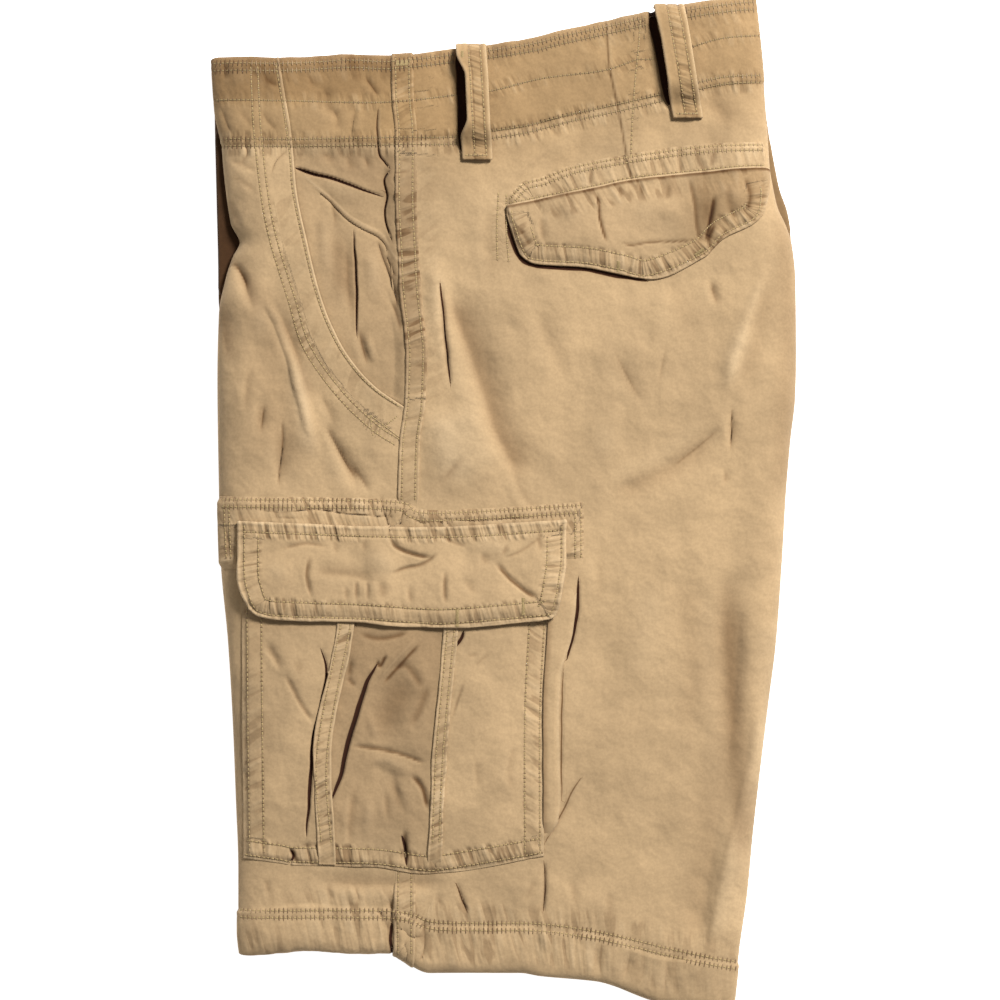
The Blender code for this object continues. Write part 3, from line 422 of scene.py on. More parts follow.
FLAP_CREASES = drawn(
    ((-121.4, -31, -122.4, -44, -119, -60), 1.2, -1.4, 0.3, 0.5, 9),
    ((-139.5, -29, -124, -25.5, -108, -27.4), 1.5, -0.8, 0.3, 0.26, 9),
    ((-92.2, -46, -91.4, -62), 1.3, -0.9, 0.2, 0.32, 6),
    ((-84.5, -46, -83.4, -62), 1.2, -0.7, 0.2, 0.24, 6),
    ((-99, -50, -98.4, -62), 1.6, -0.7, 0.2, 0.18, 6),
    ((-71.7, -20, -66.9, -28.2, -52.7, -33, -43, -33.7), 1.3, -1.7, 0.4, 0.62, 8),
    ((-40, -29.7, -51, -37.6, -61, -40, -72, -44.5), 1.2, -1.2, 0.4, 0.42, 9),
    ((-36.9, -41, -36.6, -53, -35.6, -64), 1.3, -1.2, 0.2, 0.42, 8),
    ((-8, -36, 4.4, -48.7, 24, -61), 1.5, -1.8, 0.4, 0.62, 9),
    ((-14.5, -30, -11, -40), 2.4, -0.9, 0.2, 0.2, 6),
    ((-77, -46, -75, -62), 2.6, -1, 0.2, 0.2, 7),
    ((-119, -43, -96, -44, -78, -48), 3.4, -0.9, 0.3, 0.16, 9),
    ((-90, -26, -62, -48), 8, 1.3),
    ((-150, -34, -132, -50), 8, 1),
    ((-30, -24, 14, -30), 6, 1.1),
    ((2, -24, -3, -34), 1.6, -0.8, 0.2, 0.25, 5),
    ((20, -18, 23, -32), 1.6, -0.7, 0.2, 0.25, 6),
    ((-44, -18, -31, -25, -22, -27), 1.5, -0.8, 0.2, 0.25, 6),
    ((24, -20, 10, -30, -2, -34), 1.1, -0.6, 0.2, 0.2, 7),
    ((-106, -20, -104, -34), 2.2, -0.6, 0.2, 0.16, 6),
    ((-88, -20, -87, -32), 2, -0.6, 0.2, 0.16, 6),
    ((-26, -46, -18, -58), 2.6, -0.7, 0.2, 0.12, 6),
    ((-60, -50, -58, -64), 2, -0.8, 0.2, 0.2, 6),
)
BACK_FLAP_CREASES = drawn(
    ((57, 194, 58.6, 184, 59.4, 175.6, 64, 160), 1, -1, 0.3, 0.7, 7),
    ((114, 203, 118, 188, 120, 172, 123, 158), 1.6, -0.9, 0.3, 0.36, 8),
    ((130, 192, 128.6, 180, 125, 160), 1.5, -1.4, 0.3, 0.62, 6),
    ((131, 174, 127, 164, 129, 156), 1.4, -0.9, 0.3, 0.5, 4),
    ((138, 170, 132, 161, 126, 154), 1.1, -0.7, 0.3, 0.4, 4),
    ((121, 200, 126, 180, 126, 160), 6.5, -0.6, 0, 0.26),
    ((134, 198, 150, 186), 6, 1.2),
    ((138, 200, 141, 182, 150, 178), 3, -0.8, 0.2, 0.2, 7),
    ((148, 204, 152, 190, 149, 178), 1.6, -0.9, 0.3, 0.42, 7),
    ((71, 162, 79, 159.4, 92, 161.6, 118, 162.4), 0.9, -0.6, 0.3, 0.45, 6),
    ((22, 182, 24, 166, 30, 158), 2.4, -0.8, 0.3, 0.2),
    ((40, 190, 46, 170), 6, 0.8),
    ((88, 196, 86, 168), 9, 0.7),
    ((8, 172, 17, 158), 1.6, -0.6, 0.2, 0.3, 5),
    ((70, 198, 73, 188), 1.4, -0.7, 0.2, 0.3, 4),
    ((84, 201, 86, 190), 1.4, -0.6, 0.2, 0.25, 4),
    ((102, 200, 101, 186), 1.6, -0.5, 0.2, 0.16, 5),
    ((32, 186, 36, 176), 1.6, -0.5, 0.2, 0.16, 5),
)
BACK_BAND_CREASES = drawn(
    ((118, 224, 121, 212, 126, 204), 1.8, -1.2, 0.3, 0.4, 4),
    ((108, 222, 110, 204), 1.8, -0.9, 0.3, 0.3, 4),
    ((131, 222, 128, 208), 1.6, -0.8, 0.3, 0.3, 4),
    ((54, 211, 53, 196), 1.4, -0.8, 0.3, 0.35, 4),
    ((94, 216, 98, 206), 1.8, -0.6, 0.3, 0.2, 4),
)
CARGO_BAND_CREASES = drawn(
    ((-160, -3, -140, -6, -118, -4.6, -86, -8, -62, -9), 1.2, -0.6, 0.2, 0.24),
    ((-150, -9, -120, -10), 1.6, -0.5, 0.2, 0.2),
    ((-44, -9, -20, -11.4, 8, -10, 28, -8.4), 1, -0.6, 0.2, 0.18),
    ((-36, -6, -41, -14), 1.4, -1, 0.2, 0.4, 4),
    ((-62, 1, -64, -8, -65, -15), 1.3, -1.2, 0.2, 0.6, 4),
    ((-59, -8, -52, -13, -45, -12), 1.1, -0.8, 0.2, 0.4, 4),
    ((-72, -3, -70, -12), 1.4, -0.8, 0.2, 0.4, 4),
    ((46, -10, 40, -22), 1.4, -1, 0.2, 0.5, 4),
    ((-172, -14, -169, -32), 1.4, -0.8, 0.2, 0.35, 5),
)

# ---- belt loops ----
LOOP_WIDTH = 17.5
LOOP_RISE = 7.4           # of a loop's underside over the waistband
Loop = namedtuple("Loop", "name top_x foot_x foot_y lean")
LOOPS = (
    Loop("belt_loop_side", -20.5, -16.5, 214.0, 4.6),
    Loop("belt_loop_back", 103.0, 114.5, 240.0, 0.6),
)
LOOP_FOOT = 6.0           # length that is sewn down
LOOP_CLIMB = 16.0         # length over which it rises
LOOP_OVERHANG = 3.4       # past the waist edge
LOOP_TIP = 7.0            # height of its end
LOOP_TURN = 12.0          # below the waist edge, where a loop starts to bend over it
LOOP_ROWS = (-1.6, 5.6)
LOOP_GAP_REACH = 4.2      # no stitches this close to the gap beside a loop

COLOUR = {"subtype": "COLOR", "size": 3, "min": 0, "max": 1}


class ShortsSettings(bpy.types.PropertyGroup):
    """Sizes and colours that a user would change."""

    cloth: FloatVectorProperty(
        name="Cloth", description="Colour of the washed twill",
        default=(0.368, 0.252, 0.136), **COLOUR)
    # Also the tint of the painted shade below the waistband's right part, on the back flap's right
    # part and on the hidden layers.
    band: FloatVectorProperty(
        name="Waistband", description="Colour of the doubled cloth at the waist",
        default=(0.262, 0.163, 0.074), **COLOUR)
    # Colour of rubbed edges and also of the painted highlights on ridges, lips and gathers.
    worn_and_highlit: FloatVectorProperty(
        name="Worn edges", description="Colour where the twill is rubbed pale",
        default=(0.490, 0.360, 0.215), **COLOUR)
    shaded: FloatVectorProperty(
        name="Deep folds", description="Colour down in the folds and gaps",
        default=(0.075, 0.033, 0.020), **COLOUR)
    folded: FloatVectorProperty(
        name="Fold tint", description="What a half-shaded fold does to the colour",
        default=(0.34, 0.265, 0.205), **COLOUR)
    thread: FloatVectorProperty(
        name="Thread", description="Colour of the sewing thread",
        default=(0.335, 0.242, 0.110), **COLOUR)
    cell: FloatProperty(
        name="Cell", description="Spacing of the panels' mesh, in millimetres",
        default=1.8, min=1.0, max=6.0)
    stitch_length: FloatProperty(
        name="Stitch length", description="Length of one stitch, in millimetres",
        default=1.9, min=1.0, max=5.0)
    stitch_pitch: FloatProperty(
        name="Stitch pitch", description="From one stitch to the next, in millimetres",
        default=2.8, min=1.5, max=6.0)
    stitch_width: FloatProperty(
        name="Stitch width", description="Width of the thread, in millimetres",
        default=0.8, min=0.2, max=2.0)
    seed: IntProperty(
        name="Seed", description="Changes the small unevenness of the cloth",
        default=7, min=0)
    key_power: FloatProperty(
        name="Key light", description="Power of the main light", default=368.0, min=0,
        unit="POWER")
    fill_power: FloatProperty(
        name="Fill light", description="Power of the opposite light", default=2.0, min=0,
        unit="POWER")
    room_light: FloatProperty(
        name="Room light", description="Brightness of the white room", default=0.27, min=0)
    floor_light: FloatProperty(
        name="Floor light", description="Brightness of the lit white table", default=0.85, min=0)
    field_width: FloatProperty(
        name="Field", description="Width of the camera's view at the cloth, in metres",
        default=0.625, min=0.1, max=5.0)


# ---- curves, lines and noise ----
def curve(rows):
    """A smooth line through (key, value) rows that never swings past them."""
    keys, values = np.array(rows, dtype=float).T
    steps = np.diff(keys)
    slopes = np.diff(values) / steps
    before, after = slopes[:-1], slopes[1:]
    total = np.where(before * after > 0, before + after, 1.0)
    middle = np.where(before * after > 0, 2 * before * after / total, 0.0)
    bends = np.concatenate(([slopes[0]], middle, [slopes[-1]]))

    def value(key):
        key = np.clip(np.asarray(key, dtype=float), keys[0], keys[-1])
        i = np.clip(np.searchsorted(keys, key, side="right") - 1, 0, len(steps) - 1)
        s = (key - keys[i]) / steps[i]
        start = (1 + 2 * s) * (1 - s) ** 2 * values[i] + s * (1 - s) ** 2 * steps[i] * bends[i]
        end = s * s * (3 - 2 * s) * values[i + 1] + s * s * (s - 1) * steps[i] * bends[i + 1]
        return start + end

    return value


def moved(line, distance):
    """The same line, shifted by a distance."""
    return lambda key: line(key) + distance


def straight(value):
    """A line that keeps one value."""
    return lambda key: np.zeros_like(np.asarray(key, dtype=float)) + value


def smooth(share):
    """An even rise from 0 to 1."""
    share = np.clip(share, 0.0, 1.0)
    return share * share * (3 - 2 * share)


def rounded(distance, width):
    """The rise of a rounded edge, 0 at the edge and 1 from width on."""
    share = np.clip(distance / width, 0.0, 1.0)
    return np.sqrt(1 - (1 - share) ** 2)


def noise(x, y, size, seed):
    """Soft noise from -1 to 1 with hills of about one size."""
    table = np.random.RandomState(seed).rand(64, 64)
    px, py = np.asarray(x) / size + 31.7, np.asarray(y) / size + 17.3
    ix, iy = np.floor(px).astype(int), np.floor(py).astype(int)
    fx, fy = smooth(px - ix), smooth(py - iy)
    ix, iy = ix % 63, iy % 63
    low = table[ix, iy] * (1 - fx) + table[ix + 1, iy] * fx
    high = table[ix, iy + 1] * (1 - fx) + table[ix + 1, iy + 1] * fx
    return 2 * (low * (1 - fy) + high * fy) - 1


class Line:
    """A drawn line on the cloth, smooth through its points and measured every millimetre."""

    def __init__(self, points):
        points = np.array(points, dtype=float)
        if len(points) > 2:
            points = self.softened(points)
        spans = np.hypot(*np.diff(points, axis=0).T)
        lengths = np.concatenate(([0.0], np.cumsum(spans)))
        self.length = float(lengths[-1])
        self.along = np.linspace(0, self.length, max(int(self.length), 2) + 1)
        self.points = np.stack(
            [np.interp(self.along, lengths, points[:, i]) for i in (0, 1)], axis=1)
        tangents = np.gradient(self.points, self.along, axis=0)
        self.tangents = tangents / np.linalg.norm(tangents, axis=1)[:, None]

    @staticmethod
    def softened(points):
        """Points along a curve that passes through each point given."""
        padded = np.vstack((2 * points[0] - points[1], points, 2 * points[-1] - points[-2]))
        pieces = []
        for p0, p1, p2, p3 in zip(padded, padded[1:], padded[2:], padded[3:]):
            t = np.linspace(0, 1, 12, endpoint=False)[:, None]
            pieces.append(0.5 * (2 * p1 + (p2 - p0) * t + (2 * p0 - 5 * p1 + 4 * p2 - p3) * t ** 2
                                 + (3 * p1 - p0 - 3 * p2 + p3) * t ** 3))
        return np.vstack((*pieces, points[-1:]))

    def near(self, x, y, reach):
        """The points within reach: their indices, distance to the left, distance along."""
        low, high = self.points.min(0) - reach, self.points.max(0) + reach
        x, y = np.ravel(x), np.ravel(y)
        found = np.nonzero((x > low[0]) & (x < high[0]) & (y > low[1]) & (y < high[1]))[0]
        across, along = np.empty(len(found)), np.empty(len(found))
        for start in range(0, len(found), 4000):
            part = found[start:start + 4000]
            dx = x[part][:, None] - self.points[:, 0]
            dy = y[part][:, None] - self.points[:, 1]
            nearest = (dx * dx + dy * dy).argmin(axis=1)
            pick = np.arange(len(part)), nearest
            tangent = self.tangents[nearest]
            across[start:start + 4000] = tangent[:, 0] * dy[pick] - tangent[:, 1] * dx[pick]
            ahead = tangent[:, 0] * dx[pick] + tangent[:, 1] * dy[pick]
            along[start:start + 4000] = self.along[nearest] + ahead
        close = np.abs(across) < reach
        return found[close], across[close], along[close]

    def offset(self, distance):
        """The same line, moved to its left."""
        side = np.stack((-self.tangents[:, 1], self.tangents[:, 0]), axis=1)
        return Line(self.points[::3] + side[::3] * distance)


def upright(table, aside=0.0):
    """A line from a table of (up, across) points, moved aside."""
    return Line([(across + aside, up) for up, across in table])


front_fold, back_fold = curve(FRONT_FOLD), curve(BACK_FOLD)
front_line = moved(curve(FRONT_EDGE), EDGE_INSET)
back_line = moved(curve(BACK_EDGE), -EDGE_INSET)
waist_edge, hem_edge = curve(WAIST_EDGE), curve(HEM_EDGE)
waist_line, hem_line = moved(waist_edge, -END_INSET), moved(hem_edge, END_INSET)
seam_line = curve(SIDE_SEAM)
seam_back_line = moved(seam_line, SEAM_WIDTH)
mouth_line = curve(POCKET_MOUTH)
crown, rim = curve(CROWN), curve(RIM)
LOOP_GAP_LINES = [curve(sorted((up, across) for across, up in gap.points))
                  for gap in LOOP_GAPS]


# ---- the form under the cloth ----
def form_height(x, y):
    """Height of what carries the panels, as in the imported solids, without its folds."""
    side = rounded(np.minimum(x - front_line(y), back_line(y) - x), SIDE_ROUNDING)
    end = rounded(np.minimum(y - hem_line(x), waist_line(x) - y), END_ROUNDING)
    return rim(y) + (crown(y) - rim(y)) * side * (END_LIFT + (1 - END_LIFT) * end)


def settle(across, along, left, right, foot, top):
    """The places in a four-sided outline, each side a line of its own."""
    along, across = np.meshgrid(along, across, indexing="ij")
    y = 0.5 * (foot(0.0) + top(0.0)) + 0.0 * across
    x = 0.5 * (left(y) + right(y))
    for _ in range(12):
        y = foot(x) + along * (top(x) - foot(x))
        x = left(y) + across * (right(y) - left(y))
    return x, y


# Marks carried to the material, in order: rubbed paleness together with painted highlights on
# ridges, lips and gathers; painted shade; the waistband's darker colour, also laid on as painted
# shade; the strength and place of the puckers, whose valleys get painted shade and ridges painted
# highlights; painted shade down in the gaps, and the place across a gap.
MARKS = ("wear", "shade", "tone", "gather", "run", "slit", "off")


class Cloth:
    """One piece of cloth: a grid of places, how it lies on the form, and its marks."""

    def __init__(self, name, x, y, lift, wall):
        self.name, self.x, self.y = name, x, y
        self.form = form_height(x, y)
        self.fade = rounded(np.minimum(x - front_line(y), back_line(y) - x), FOLD_FADE)
        self.lift, self.wall = np.zeros_like(x) + lift, np.zeros_like(x) + wall
        for layer in ("folds", *MARKS):
            setattr(self, layer, np.zeros_like(x))
        self.rim_wear = 0.12

    def add(self, layer, where, amount):
        """Adds to a layer of the piece at the given places."""
        getattr(self, layer).reshape(-1)[where] += amount

    def crease(self, entry, layer="folds"):
        """A soft trough or ridge; its lean makes one side the steeper."""
        line = Line(entry.points)
        reach = 3 * entry.width * (1 + abs(entry.lean)) + 3
        where, across, along = line.near(self.x, self.y, reach)
        across = across + 0.5 * noise(along, 0 * along, 14.0, 5)
        taper = min(entry.end, 0.45 * line.length)
        ends = smooth(along / taper) * smooth((line.length - along) / taper)
        widths = np.where(across > 0, 1 + entry.lean, 1 - entry.lean) * entry.width
        profile = ends * np.exp(-(across / widths) ** 2)
        self.add(layer, where, entry.height * profile)
        # Painted highlight on a ridge's crest, and painted shade along the crease.
        self.add("wear", where, max(entry.height, 0) * 0.14 * profile ** 2)
        self.add("shade", where, entry.shade * profile ** 1.5)

    def gap(self, entry, layer="lift"):
        """A dark opening between folds; its lean makes the far end taper longer."""
        line = Line(entry.points)
        where, across, along = line.near(self.x, self.y, 3 * entry.width + 3)
        across = across + 0.35 * noise(along, 0 * along, 9.0, 7)
        first = min(entry.end, 0.48 * line.length)
        last = min(entry.end * (1 + entry.lean), line.length - first)
        ends = rounded(along, first) * rounded(line.length - along, last)
        width = entry.width * np.maximum(ends, 0.02)
        inside = (along > 0) & (along < line.length)
        profile = np.exp(-(across / (width + 0.25)) ** 4) * inside
        lip = np.exp(-((across - 1.3 * width - 0.5) / 0.9) ** 2) * inside * ends
        self.add(layer, where, entry.height * profile * ends)
        # A painted highlight on the lip, and painted shade in and round the opening, near black
        # down its middle.
        self.add("wear", where, 0.2 * lip)
        self.add("shade", where, 0.2 * np.exp(-(across / (width + 1.0)) ** 2) * inside * ends)
        amount = entry.shade * smooth((entry.width + 2.8 - np.abs(across)) / 1.2)
        amount = amount * smooth((along + 1) / 1.5) * smooth((line.length + 1 - along) / 1.5)
        self.note("slit", "off", where, amount, np.clip(across / width, -6, 6))

    def creases(self, entries, layer="folds"):
        """All the creases of a table."""
        for entry in entries:
            self.crease(entry, layer)
            self.follow(entry, layer)

    def follow(self, entry, layer):
        """The low ridge that a trough pushes up beside it, and the other way round."""
        if entry.width < 2:
            return
        beside = -1.5 * entry.width if entry.lean >= 0 else 1.5 * entry.width
        line = Line(entry.points).offset(beside)
        points = [tuple(point) for point in line.points[::6]]
        if len(points) >= 2:
            ridge = Crease(points, entry.width, -0.3 * entry.height, end=entry.end)
            self.crease(ridge, layer)

    def grooves(self, line, offsets, depth=0.14):
        """Grooves beside a line, at these distances to its left."""
        for distance in offsets:
            self.groove(line.offset(distance), depth)

    def groove(self, line, depth=0.14):
        """The line that a row of stitches pulls into the cloth."""
        where, across, along = line.near(self.x, self.y, 3 * ROW_WIDTH)
        inside = (along > -1) & (along < line.length + 1)
        profile = np.exp(-(across / ROW_WIDTH) ** 2) * inside
        self.add("wall", where, -depth * profile)
        # Painted shade along the groove.
        self.add("shade", where, 0.05 * profile)

    def note(self, layer, places, where, amount, value):
        """Keeps the stronger of two amounts, with the place along its own row."""
        amounts, values = getattr(self, layer).reshape(-1), getattr(self, places).reshape(-1)
        before = amounts[where]
        values[where] = np.where(amount >= before, value, values[where])
        apart = np.where(before > 0, smooth(np.abs(amount - before) / 0.15), 1)
        amounts[where] = np.maximum(amount, before) * apart

    def pucker(self, line, low, high, strength, pitch, seed, fade, slant, height=0.5):
        """Gathers across a row of stitches, from one distance off it to another."""
        reach = max(abs(low), abs(high)) + fade + 1.5
        where, across, along = line.near(self.x, self.y, reach)
        window = smooth((across - low + fade) / fade) * smooth((high + fade - across) / fade)
        window = window * smooth(along / 4.0) * smooth((line.length - along) / 4.0)
        run = (along + slant * across) / pitch + 7.3 * seed
        uneven = np.clip(0.7 + 0.5 * noise(along, across, 3.0 * pitch, seed + 3), 0.15, 1)
        amount = strength * window * uneven
        waves = noise(run, 0.0 * run, 0.8, seed) + 0.5 * noise(run, 0.0 * run, 0.45, seed + 1)
        self.add("wall", where, height * amount * waves)
        # The material paints shade in the gathers' valleys and a highlight on their ridges.
        self.note("gather", "run", where, amount, run)

    def press(self, inside, width, drop, thin):
        """Lets a sewn edge lie flush: lower and thinner towards it."""
        low = 1 - smooth(inside / width)
        self.lift -= drop * low
        self.wall *= 1 - thin * low
        self.rim_wear = 0.0

    def step(self, line, rise, width, spread):
        """A turned-under edge: the cloth on the line's left lies higher, and sinks again."""
        where, across, along = line.near(self.x, self.y, spread)
        inside = smooth(along / 4) * smooth((line.length - along) / 4)
        high = smooth((across + width) / (2 * width)) * smooth((spread - across) / spread)
        self.add("wall", where, rise * high * inside)
        # Painted shade at the foot of the step, and a painted highlight on its edge.
        self.add("shade", where, 0.5 * inside * np.exp(-((across + width) / width) ** 2))
        self.add("wear", where, 0.12 * inside * np.exp(-((across - 1.2) / 1.0) ** 2))

    def bead(self, line, width=0.8, height=0.25, pale=0.45, inset=0.6):
        """A rounded edge along a line, rubbed pale, with a painted highlight on its crest."""
        where, across, _ = line.near(self.x, self.y, 6 * width)
        profile = np.exp(-((np.abs(across) - inset) / width) ** 2)
        uneven = 0.7 + 0.3 * noise(self.x.reshape(-1)[where], self.y.reshape(-1)[where], 9.0, 41)
        self.add("wall", where, height * profile)
        self.add("wear", where, pale * profile * uneven)

    def ripple(self, size, height, seed, layer="folds", stretch=1.0):
        """The slight unevenness of washed cloth, longer up the garment where stretched."""
        up = self.y / stretch
        rough = noise(self.x, up, size, seed) + 0.4 * noise(self.x, up, 0.45 * size, seed + 1)
        setattr(self, layer, getattr(self, layer) + height * rough)

    def limits(self):
        """Keeps the marks between nothing and full, and the wall from crossing itself."""
        self.wear = np.clip(self.wear, 0, 1)
        self.shade = np.clip(self.shade, 0, 1)
        self.wall = np.maximum(self.wall, 0.5)

    def surfaces(self):
        """The points of its underside and of its face."""
        height = self.form + self.folds * self.fade
        ground = np.stack((self.x, self.y, height), axis=-1)
        up = grid_normals(ground)
        base = ground + up * self.lift[..., None]
        return base, base + up * self.wall[..., None]

    def build(self, material, slot, nodes, whole=False):
        """The mesh with rounded edges; only a whole one has its hidden underside filled."""
        self.limits()
        base, face = self.surfaces()
        rows, columns = self.x.shape
        index = np.arange(rows * columns).reshape(rows, columns)
        ring = np.concatenate(
            (index[0, :-1], index[:-1, -1], index[-1, :0:-1], index[:0:-1, 0]))
        low, high = base.reshape(-1, 3)[ring], face.reshape(-1, 3)[ring]
        ahead = np.roll(high, -1, axis=0) - np.roll(high, 1, axis=0)
        outward = np.cross(ahead, high - low)
        outward /= np.maximum(np.linalg.norm(outward, axis=1), 1e-9)[:, None]
        wall = np.linalg.norm(high - low, axis=1)[:, None]
        rims = [low + (high - low) * rise + outward * wall * bulge
                for rise, bulge in ((0.88, 0.24), (0.5, 0.36), (0.12, 0.24))]
        count = rows * columns
        top = np.stack(
            (index[:-1, :-1], index[:-1, 1:], index[1:, 1:], index[1:, :-1]), -1).reshape(-1, 4)
        quads = [top]
        if whole:
            under, under_ring = base.reshape(-1, 3), count + ring
            quads.append(top[:, ::-1] + count)
        else:
            under = np.vstack((low, low - outward * UNDER_RETURN))
            under_ring = count + np.arange(len(ring))
        first = count + len(under)
        loops = [ring] + [first + i * len(ring) + np.arange(len(ring)) for i in range(3)]
        loops.append(under_ring)
        if not whole:
            loops.append(under_ring + len(ring))
        for upper, lower in zip(loops, loops[1:]):
            quads.append(np.stack(
                (upper, lower, np.roll(lower, -1), np.roll(upper, -1)), -1))
        points = np.vstack((face.reshape(-1, 3), under, *rims))
        marks = {}
        for layer in MARKS:
            values = getattr(self, layer).reshape(-1)
            below = values if whole else np.tile(values[ring], 2)
            around = [values[ring]] * 3
            if layer == "wear":
                around = [np.clip(values[ring] + self.rim_wear, 0, 1)] * 3
            marks[layer] = np.concatenate((values, below, *around))
        return make_mesh(self.name, points, quads, material, nodes, marks)


def grid_normals(points):
    """The upward directions at the points of a grid."""
    across = np.gradient(points, axis=1)
    along = np.gradient(points, axis=0)
    normals = np.cross(across, along)
    return normals / np.maximum(np.linalg.norm(normals, axis=-1), 1e-9)[..., None]


def make_mesh(name, points, faces, material, nodes=(), marks=None):
    """A shown piece made from groups of faces, each group a table of corners."""
    corners = np.concatenate([group.ravel() for group in faces]).astype(np.int32)
    sizes = np.concatenate([np.full(len(group), group.shape[1]) for group in faces])
    starts = np.concatenate(([0], np.cumsum(sizes)[:-1])).astype(np.int32)
    data = bpy.data.meshes.new(name)
    data.vertices.add(len(points))
    data.vertices.foreach_set("co", (points * METRES).ravel().astype(np.float32))
    data.loops.add(len(corners))
    data.loops.foreach_set("vertex_index", corners)
    data.polygons.add(len(starts))
    data.polygons.foreach_set("loop_start", starts)
    data.update(calc_edges=True)
    if data.validate():
        raise RuntimeError(name + " has faulty faces")
    for layer, values in (marks or {}).items():
        attribute = data.attributes.new(layer, "FLOAT", "POINT")
        attribute.data.foreach_set("value", values.astype(np.float32))
    data.shade_smooth()
    data.materials.append(material)
    piece = bpy.data.objects.new(name, data)
    bpy.context.scene.collection.objects.link(piece)
    if nodes:
        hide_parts(*nodes)
    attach(piece, BODY)
    return piece


# ---- grids ----
def spaced(length, cell):
    """Shares from 0 to 1, one cell apart, closer at both ends where the cloth rounds off."""
    count = max(int(round(length / cell)), 2)
    shares = np.linspace(0, 1, count + 1)
    near = np.array(RIM_STEPS) / length
    inner = shares[(shares > RIM_CLEAR / length) & (shares < 1 - RIM_CLEAR / length)]
    return np.concatenate(([0], near, inner, 1 - near[::-1], [1]))


def levels(*stretches):
    """Shares over stretches of (length, cell), one after the other."""
    counts = [int(round(length / cell)) for length, cell in stretches]
    steps = np.concatenate([np.full(count, length / count)
                            for count, (length, _) in zip(counts, stretches)])
    places = np.concatenate(([0.0], np.cumsum(steps)))
    return places / places[-1]


def side(x, y, which):
    """The line along one side of a grid: left, right, foot or top."""
    chosen = {"left": (slice(None), 0), "right": (slice(None), -1),
              "foot": (0, slice(None)), "top": (-1, slice(None))}[which]
    return Line(np.stack((x[chosen], y[chosen]), axis=1)[::2])


def row_line(points, down=0.0):
    """A row of stitches, moved down the garment by a distance."""
    return Line([(across, up - down) for across, up in points])


def waist_rows():
    """The five rows of stitches of the waistband."""
    edges = [row_line(WAIST_EDGE, down) for down in EDGE_ROWS]
    lower = [row_line(LOWER_BAND_ROW, down) for down in (0.0, DOUBLE_ROW)]
    return edges, row_line(MIDDLE_BAND_ROW), lower


def hem_rows():
    """The two rows of stitches of the hem."""
    return [row_line(HEM_ROW, down) for down in (0.0, DOUBLE_ROW)]


def unevenness(cloth, seed):
    """Soft waves of three sizes, the same under and over sewn pieces."""
    cloth.ripple(43.0, 0.95, seed + 1)
    cloth.ripple(20.0, 0.50, seed + 3, stretch=1.9)
    cloth.ripple(9.0, 0.13, seed + 5, stretch=1.5)


def sewn_cloth(name, x, y, lift, wall, seed):
    """A piece sewn on the panels, which follows their creases and unevenness."""
    cloth = Cloth(name, x, y, lift, wall)
    cloth.creases(PANEL_CREASES)
    unevenness(cloth, seed)
    return cloth


def sewn_lift(x, y, extra=0.0):
    """The lift of a piece that lies on a panel, or on something this much above it."""
    inside = np.minimum(x - front_line(y), back_line(y) - x)
    return PANEL_TOP + SEWN_GAP + extra + 0.7 * (1 - smooth(inside / 14.0))


# ---- panels ----
def dress_panel(cloth, seed):
    """What the waistband, the hem and the creases do to any of the panels."""
    x, y = cloth.x, cloth.y
    depth = waist_edge(x) - y
    hem = y - hem_edge(x)
    in_band = smooth((WAISTBAND_DEPTH + 2 - depth) / 3)
    cloth.wall += (WAISTBAND_WALL - PANEL_WALL) * smooth((WAISTBAND_DEPTH - depth) / 1.6)
    cloth.wall += (HEM_WALL - PANEL_WALL) * smooth((HEM_DEPTH - hem) / 1.6)
    lower_left = smooth((depth - 26) / 6.0) * smooth((-60 - x) / 60.0)
    # The waistband's darker colour, less of it to the right and in its lower left.
    cloth.tone += in_band * (1.0 - 0.25 * smooth((x + 120) / 200) - 0.3 * lower_left)
    # Painted shade below the waistband's right part, in the waistband's colour.
    cloth.tone += 0.4 * (1 - in_band) * smooth((104 - depth) / 50.0) * smooth((x + 60) / 20.0)
    # Painted shade along the top of the waistband.
    cloth.shade += 0.10 * in_band * (1 - smooth((depth - 7.0) / 4.0))
    cloth.wall += 0.35 * in_band * noise(x, y / 3.0, 8.0, seed + 27)
    # Painted shade over the waistband's upper left.
    upper_left = smooth((28 - depth) / 6.0) * smooth((-30 - x) / 60.0)
    cloth.shade += 0.17 * in_band * upper_left
    cloth.creases(PANEL_CREASES)
    # Shallow troughs darkened with painted shade, among them the painted shadow beside each belt
    # loop.
    for entry in (*PANEL_GAPS, *LOOP_GAPS):
        cloth.gap(entry, "wall")
    unevenness(cloth, seed)
    edges, middle, lower = waist_rows()
    for line in (*edges, middle, *lower):
        cloth.groove(line)
    cloth.pucker(edges[0], -11, 0, 0.35, 8.0, seed + 19, 4.0, 0.3)
    cloth.pucker(lower[0], -9, 2.5, 0.55, 6.0, seed + 11, 4.0, 0.1)
    cloth.pucker(middle, -4, 4, 0.4, 6.0, seed + 17, 3.0, 0.2)
    hems = hem_rows()
    for line in hems:
        cloth.groove(line)
    cloth.pucker(hems[0], -22, 8, 0.6, 8.0, seed + 13, 8.0, 0.25, 1.2)
    cloth.bead(row_line(WAIST_EDGE, -0.8), 0.8, 0.1, 0.2)
    cloth.bead(Line(HEM_EDGE), 0.8, 0.1, 0.2)


